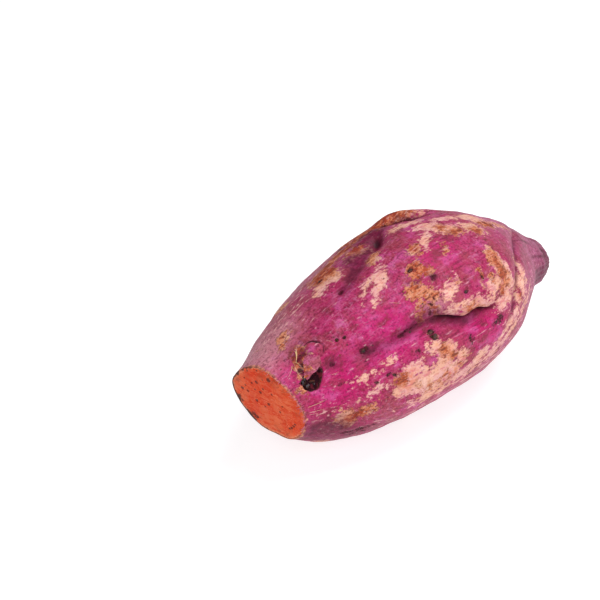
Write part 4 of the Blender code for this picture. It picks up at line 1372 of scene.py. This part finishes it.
def make_flesh_material(groups):
    """The cut face: orange flesh with wavy fibres, dots where its vessels end, and a dry brown edge."""
    material, w, shader, place = new_material("Cut flesh", Specular_IOR_Level=0.16)
    fibre = w.noise(w.stretched(place, (1.0, 0.30, 1.0)), 420.0, 4.0, 0.62, 1.1)
    strands = w.noise(w.stretched(place, (1.0, 0.16, 1.0)), 300.0, 2.0, 0.5, 1.6)
    cloud = w.noise(place, 110.0, 3.0, 0.5)
    grain = w.group(groups["grain"], Place=place, Ring_Width=0.5, Grain_Size=0.7)
    paint = w.mix(w.ramp(cloud, 0.42, 0.60), FLESH, FLESH_PALE)
    paint = w.tint(paint, FLESH_DEEP, fibre, 0.48, 0.60, 0.70)
    vein = w.ramp(w.maths("ABSOLUTE", w.plus(strands, -0.5)), 0.0, 0.030, 1.0, 0.0)
    paint = w.mix(w.times(vein, w.ramp(cloud, 0.42, 0.60, 0.9, 0.3)), paint, FLESH_DEEP)
    threads = w.noise(w.stretched(place, (1.0, 0.22, 0.9)), 230.0, 3.0, 0.5, 1.8)
    threads = w.ramp(w.maths("ABSOLUTE", w.plus(threads, -0.52)), 0.0, 0.016, 1.0, 0.0)
    paint = w.mix(w.times(threads, w.ramp(fibre, 0.40, 0.60, 0.1, 0.7)), paint, FLESH_THREAD)
    paint = w.tint(paint, FLESH_PALE, grain["Grain"], 0.52, 0.64, 0.65)
    paint = w.tint(paint, RUST, grain["Grain"], 0.44, 0.30, 0.40)
    middle = w.field("from_middle")
    dried = w.ramp(w.plus(w.noise(place, 190.0, 4.0, 0.65), w.times(grain["Grain"], 0.5)), 0.78, 0.92)
    paint = w.mix(w.times(w.ramp(middle, 0.35, 0.95), w.times(dried, 0.80)), paint, RUST)
    dots = w.plus(w.field("vessel"), w.times(w.plus(grain["Grain"], -0.5), 2.8))
    vessels = w.times(w.ramp(dots, 0.40, 0.85), w.ramp(w.field("vessel"), 0.0, 0.3))
    paint = w.mix(w.times(vessels, 0.92), paint, VESSEL)
    small = w.group(groups["specks"], Place=place, Spacing=1.9, Size=0.11, Share=0.30)["Mask"]
    paint = w.mix(w.times(small, 0.7), paint, RUST)

    # The dried rim: a thin tan band and a brown line, with black-brown crust on the side to the back
    ragged = w.plus(middle, w.times(w.plus(grain["Grain"], -0.5), 0.12))
    uneven = w.ramp(w.noise(place, 130.0, 3.0, 0.6), 0.40, 0.58, 0.10, 0.90)
    paint = w.tint(paint, TAN_LIGHT, ragged, 0.91, 0.97, w.times(uneven, 0.7))
    paint = w.tint(paint, BROWN, ragged, 0.965, 0.99, uneven)
    across = w.node("ShaderNodeSeparateXYZ", {0: place}).outputs["Y"]
    crust = w.plus(w.noise(place, 260.0, 4.0, 0.7), w.times(w.plus(middle, -0.95), 3.0))
    crust = w.times(w.ramp(crust, 0.50, 0.62), w.ramp(middle, 0.86, 0.93))
    paint = w.mix(w.times(crust, w.ramp(across, -0.004, 0.010, 0.0, 0.95)), paint, CRUST)
    roughness = w.ramp(fibre, 0.3, 0.7, 0.45, 0.70)
    relief = w.plus(w.times(fibre, 0.30), w.times(grain["Grain"], 0.12))
    relief = w.plus(relief, w.times(vessels, -0.15))
    give_finish(w, shader, paint, roughness, relief)
    return material


def make_torn_material(groups):
    """Skin torn half off: dusty pink, with brown grains and pale streaks."""
    material, w, shader, place = new_material("Torn skin", Specular_IOR_Level=0.35)
    grain = w.group(groups["grain"], Place=place, Ring_Width=0.5, Grain_Size=0.7)
    patchy = w.noise(place, 380.0, 4.0, 0.65)
    paint = w.mix(w.ramp(patchy, 0.38, 0.62), PURPLE_MAUVE, PINK_DUST)
    paint = w.tint(paint, BROWN, grain["Grain"], 0.46, 0.30, 0.7)
    paint = w.tint(paint, PALE_PINK, grain["Streaks"], 0.58, 0.70, 0.6)
    relief = w.plus(w.times(patchy, 0.5), w.times(grain["Grain"], 0.25))
    give_finish(w, shader, paint, w.ramp(patchy, 0.3, 0.7, 0.55, 0.8), relief)
    return material


def make_scab_material(groups, name, greyness):
    """Dark scab, as loose crumbs or as grey flakes."""
    material, w, shader, place = new_material(name, Specular_IOR_Level=0.4)
    scab = w.group(groups["scab"], Place=place, Flake_Size=1.0, Greyness=greyness)
    grain = w.group(groups["grain"], Place=place, Grain_Size=0.5)
    roughness = w.ramp(grain["Grain"], 0.3, 0.7, 0.45, 0.8)
    give_finish(w, shader, scab["Color"], roughness, scab["Relief"])
    return material


def make_straw_material(groups):
    """Dry rootlets and fibres: straw, darker in patches along their length."""
    material, w, shader, place = new_material("Dry rootlet", Specular_IOR_Level=0.4)
    grain = w.group(groups["grain"], Place=place, Grain_Size=0.4)
    patchy = w.noise(place, 260.0, 3.0, 0.6)
    paint = w.mix(w.ramp(patchy, 0.42, 0.58), STRAW, PALE_PINK)
    paint = w.mix(w.ramp(patchy, 0.56, 0.68), paint, STRAW_DARK)
    roughness = w.ramp(grain["Grain"], 0.3, 0.7, 0.5, 0.8)
    give_finish(w, shader, paint, roughness, w.times(grain["Grain"], 0.1))
    return material


def make_floor_material(groups):
    """A clean white board with the faintest grain."""
    material, w, shader, place = new_material(
        "White board", Specular_IOR_Level=0.2, Emission_Color=colour(1.0, 1.0, 1.0), Emission_Strength=0.72
    )
    grain = w.group(groups["grain"], Place=place, Grain_Size=1.5)
    paint = w.mix(w.times(grain["Grain"], 0.1), colour(0.46, 0.47, 0.48), colour(0.42, 0.43, 0.45))
    give_finish(w, shader, paint, w.ramp(grain["Grain"], 0.2, 0.8, 0.7, 0.9), w.times(grain["Grain"], 0.02))
    return material


# Loose parts' places
# A strand: where it starts, which way it heads (degrees from the tailward way towards the front), its
# length, the height of its far end, the turn it takes and its half width, in mm
Strand = namedtuple("Strand", "along around heading length lift bend width")
FIBRES = rows_of(
    Strand,
    (7.4, 22, 140, 5.4, 0.5, 25, 0.17), (7.8, 25, 98, 5.4, 0.5, -20, 0.15),
    (11.9, 11.5, 122, 5.2, 0.5, 20, 0.20), (9.2, 21, 80, 3.4, 0.4, 50, 0.16),
    (5.2, 322, 70, 6, 0.7, 30, 0.10), (49.5, 27, 40, 5.5, 0.3, 10, 0.09),
    (71, 8, 95, 2.8, 0.6, 0, 0.11), (60.1, 34.5, 30, 3.2, 0.4, 15, 0.10),
    (22, 20.5, 60, 4.5, 0.3, 35, 0.08), (16.4, 49, 10, 3.4, 0.4, -20, 0.08),
    (4.6, 71, -6, 7, 0.5, -16, 0.13), (4.2, 78, 0, 6, 0.6, -12, 0.12),
    (3.8, 80.5, 4, 4, 0.4, -10, 0.10), (12.6, 10.5, 125, 5.5, 0.2, 16, 0.28),
)
SEEDED_ROOTLETS, SLIVERS = 46, 90

# A crumb: its place, half length, half width and half height, its turn, and how deep it sits, in mm
Lump = namedtuple("Lump", "along around length width height turn sink")
SCABS = rows_of(
    Lump,
    (60.8, 60.2, 1.5, 1.1, 0.7, 20, 0.2), (61.2, 64, 1.9, 0.9, 0.6, 40, 0.2),
    (32.3, 44.6, 1.2, 1, 0.5, 0, 0.2), (65.8, 20, 1, 0.6, 0.4, 10, 0.1),
    (81.8, 49.5, 0.8, 0.5, 0.4, 30, 0.1), (52.4, 52, 0.6, 0.4, 0.3, 30, 0.1),
    (36.9, 70, 0.8, 0.6, 0.3, 0, 0.2), (9, 44, 1.6, 0.8, 0.5, 60, 0.2),
    (11.5, 47, 1.4, 0.7, 0.5, -20, 0.2),
)
FLAKES = rows_of(
    Lump,
    (9.4, 38, 0.55, 1.7, 0.30, -8, -0.7), (9, 50.4, 1.1, 0.8, 0.5, 20, -0.4),
    (7.8, 45, 0.9, 0.5, 0.35, 40, -0.5), (11.6, 50.6, 0.7, 0.5, 0.30, -30, -0.3),
    (8.2, 41.6, 0.5, 0.8, 0.25, 10, -0.6),
)
SEEDED_CRUMBS = 60


def seeded_rootlets(seed, count):
    """Short rootlets with even chances of any place and heading."""
    rng = np.random.default_rng(seed)
    return tuple(
        Strand(
            rng.uniform(4.0, 156.0),
            rng.uniform(0.0, 360.0),
            rng.uniform(0.0, 360.0),
            rng.uniform(0.8, 3.2),
            rng.uniform(0.1, 0.9),
            rng.uniform(-70.0, 70.0),
            rng.uniform(0.04, 0.085),
        )
        for _ in range(count)
        if rng.random() < 0.95
    )


def frayed_slivers(seed, count):
    """Slivers of skin left standing by the knife: two thirds of them near the front of the rim, and the
    rest with even chances from its top to its foot."""
    rng = np.random.default_rng(seed)
    places = np.append(rng.normal(80.0, 13.0, count * 2 // 3), rng.uniform(-20.0, 125.0, count // 3))
    return tuple(
        Strand(
            rim_along(place) + rng.uniform(0.4, 2.0),
            place,
            rng.uniform(150.0, 210.0),
            rng.uniform(0.8, 2.4),
            rng.uniform(0.1, 0.6),
            rng.uniform(-50.0, 50.0),
            rng.uniform(0.08, 0.25),
        )
        for place in places
    )


def rim_along(around):
    """How far along the root the cut meets the skin at one angle."""
    along = np.linspace(*NEAR_CUT, 45)
    places = skin_points(share_at(along), np.full(len(along), float(around)))
    outside = (places - CUT_POINT) @ CUT_NORMAL > 0.0
    return along[len(along) - 1 - np.argmax(outside[::-1])]


def seeded_crumbs(seed, count):
    """Crumbs of soil and scab, most of them in the scabby places."""
    rng = np.random.default_rng(seed)
    homes = [ALL_PITS[k] for k in rng.integers(0, len(PITS), count)]
    return tuple(
        Lump(
            home.along + rng.normal(0.0, 2.0),
            home.around + rng.normal(0.0, 3.5),
            rng.uniform(0.12, 0.38),
            rng.uniform(0.12, 0.30),
            rng.uniform(0.08, 0.20),
            rng.uniform(0.0, 180.0),
            0.02,
        )
        for home in homes
    )


# The stage
def make_floor(material):
    """A wide level board, a square grid worked out from two parameters. It lies a hair below the root,
    whose flat would otherwise share its plane."""
    u, v = np.meshgrid(np.linspace(-12.0, 12.0, 9), np.linspace(-12.0, 12.0, 9), indexing="ij")
    points = np.stack((u, v, 0.0 * u - 0.2 * MM), axis=-1).reshape(-1, 3)
    k = np.arange(8)[:, None] * 9 + np.arange(8)
    faces = np.stack((k, k + 9, k + 10, k + 1), axis=-1).reshape(-1, 4)
    mesh = bpy.data.meshes.new("floor")
    mesh.from_pydata(points.tolist(), [], faces.tolist())
    mesh.materials.append(material)
    floor = bpy.data.objects.new("floor", mesh)
    bpy.context.scene.collection.objects.link(floor)


def add_area_light(name, place, aim, size, power, tint=(1.0, 1.0, 1.0)):
    """A square lamp that faces the point it is aimed at."""
    lamp = bpy.data.lights.new(name, "AREA")
    lamp.shape = "SQUARE"
    lamp.size = size
    lamp.energy = power
    lamp.color = tint
    light = bpy.data.objects.new(name, lamp)
    light.location = place
    light.rotation_euler = (Vector(place) - Vector(aim)).to_track_quat("Z", "Y").to_euler()
    bpy.context.scene.collection.objects.link(light)


def set_stage(groups):
    """The floor, the soft light from above and the pale surroundings."""
    make_floor(make_floor_material(groups))
    add_area_light("soft_box", (0.35, -0.10, 0.85), (0.0, 0.0, 0.03), 0.5, 5.6)
    add_area_light("left_light", (-0.65, -0.40, 0.55), (0.0, 0.0, 0.03), 0.6, 3.6)
    add_area_light("front_light", (0.30, -0.80, 0.40), (0.0, 0.0, 0.03), 0.6, 2.2)
    world = bpy.data.worlds.new("pale_room")
    world.use_nodes = True
    background = world.node_tree.nodes["Background"]
    background.inputs["Color"].default_value = colour(1.0, 1.0, 1.0)
    background.inputs["Strength"].default_value = 0.26
    bpy.context.scene.world = world
    bpy.context.scene.view_settings.view_transform = "Standard"


def set_camera():
    """The photograph's viewpoint: above the cut end and in front of it, looking down the root."""
    lens = bpy.data.cameras.new("camera")
    lens.lens = CAMERA_LENS
    lens.sensor_width = CAMERA_SENSOR
    lens.clip_start = 0.02
    camera = bpy.data.objects.new("camera", lens)
    camera.location = to_frame(np.array(CAMERA_PLACE))
    camera.rotation_euler = (math.radians(90.0 - CAMERA_ELEVATION), 0.0, math.radians(CAMERA_AZIMUTH))
    bpy.context.scene.collection.objects.link(camera)
    bpy.context.scene.camera = camera


# Put together
ALL_RUBBED = RUBBED + hidden_marks(5, HIDDEN_RUBBED, 8.0, 4.5)
ALL_SCURF = SCURF + hidden_marks(6, HIDDEN_SCURF, 6.0, 3.4)
ALL_RUSTY = RUSTY + hidden_marks(6, HIDDEN_SCURF // 2, 7.0, 4.0)
ALL_PITS = (
    PITS
    + seeded_pits(7, HIDDEN_PITS, HIDDEN_FROM, HIDDEN_TO, 1.2, 1.0)
    + seeded_pits(8, SPECKS, 0.0, 360.0, 0.40, 0.7)
)

groups = {
    "ragged": ragged_edge_group(),
    "grain": grain_group(),
    "specks": speck_group(),
    "scab": scab_group(),
}
skin = make_skin_material(groups)
make_root(skin, make_flesh_material(groups))
make_torn_tongue(skin)
make_strands("fibres", FIBRES + seeded_rootlets(21, SEEDED_ROOTLETS), make_straw_material(groups))
make_strands("frayed_rim", frayed_slivers(22, SLIVERS), make_torn_material(groups), flat=0.35)
make_lumps("scabs", SCABS + seeded_crumbs(23, SEEDED_CRUMBS), make_scab_material(groups, "Scab", 0.2), 61)
make_lumps("grey_flakes", FLAKES, make_scab_material(groups, "Grey flake", 1.0), 62)
set_stage(groups)
set_camera()

bpy.context.view_layer.update()
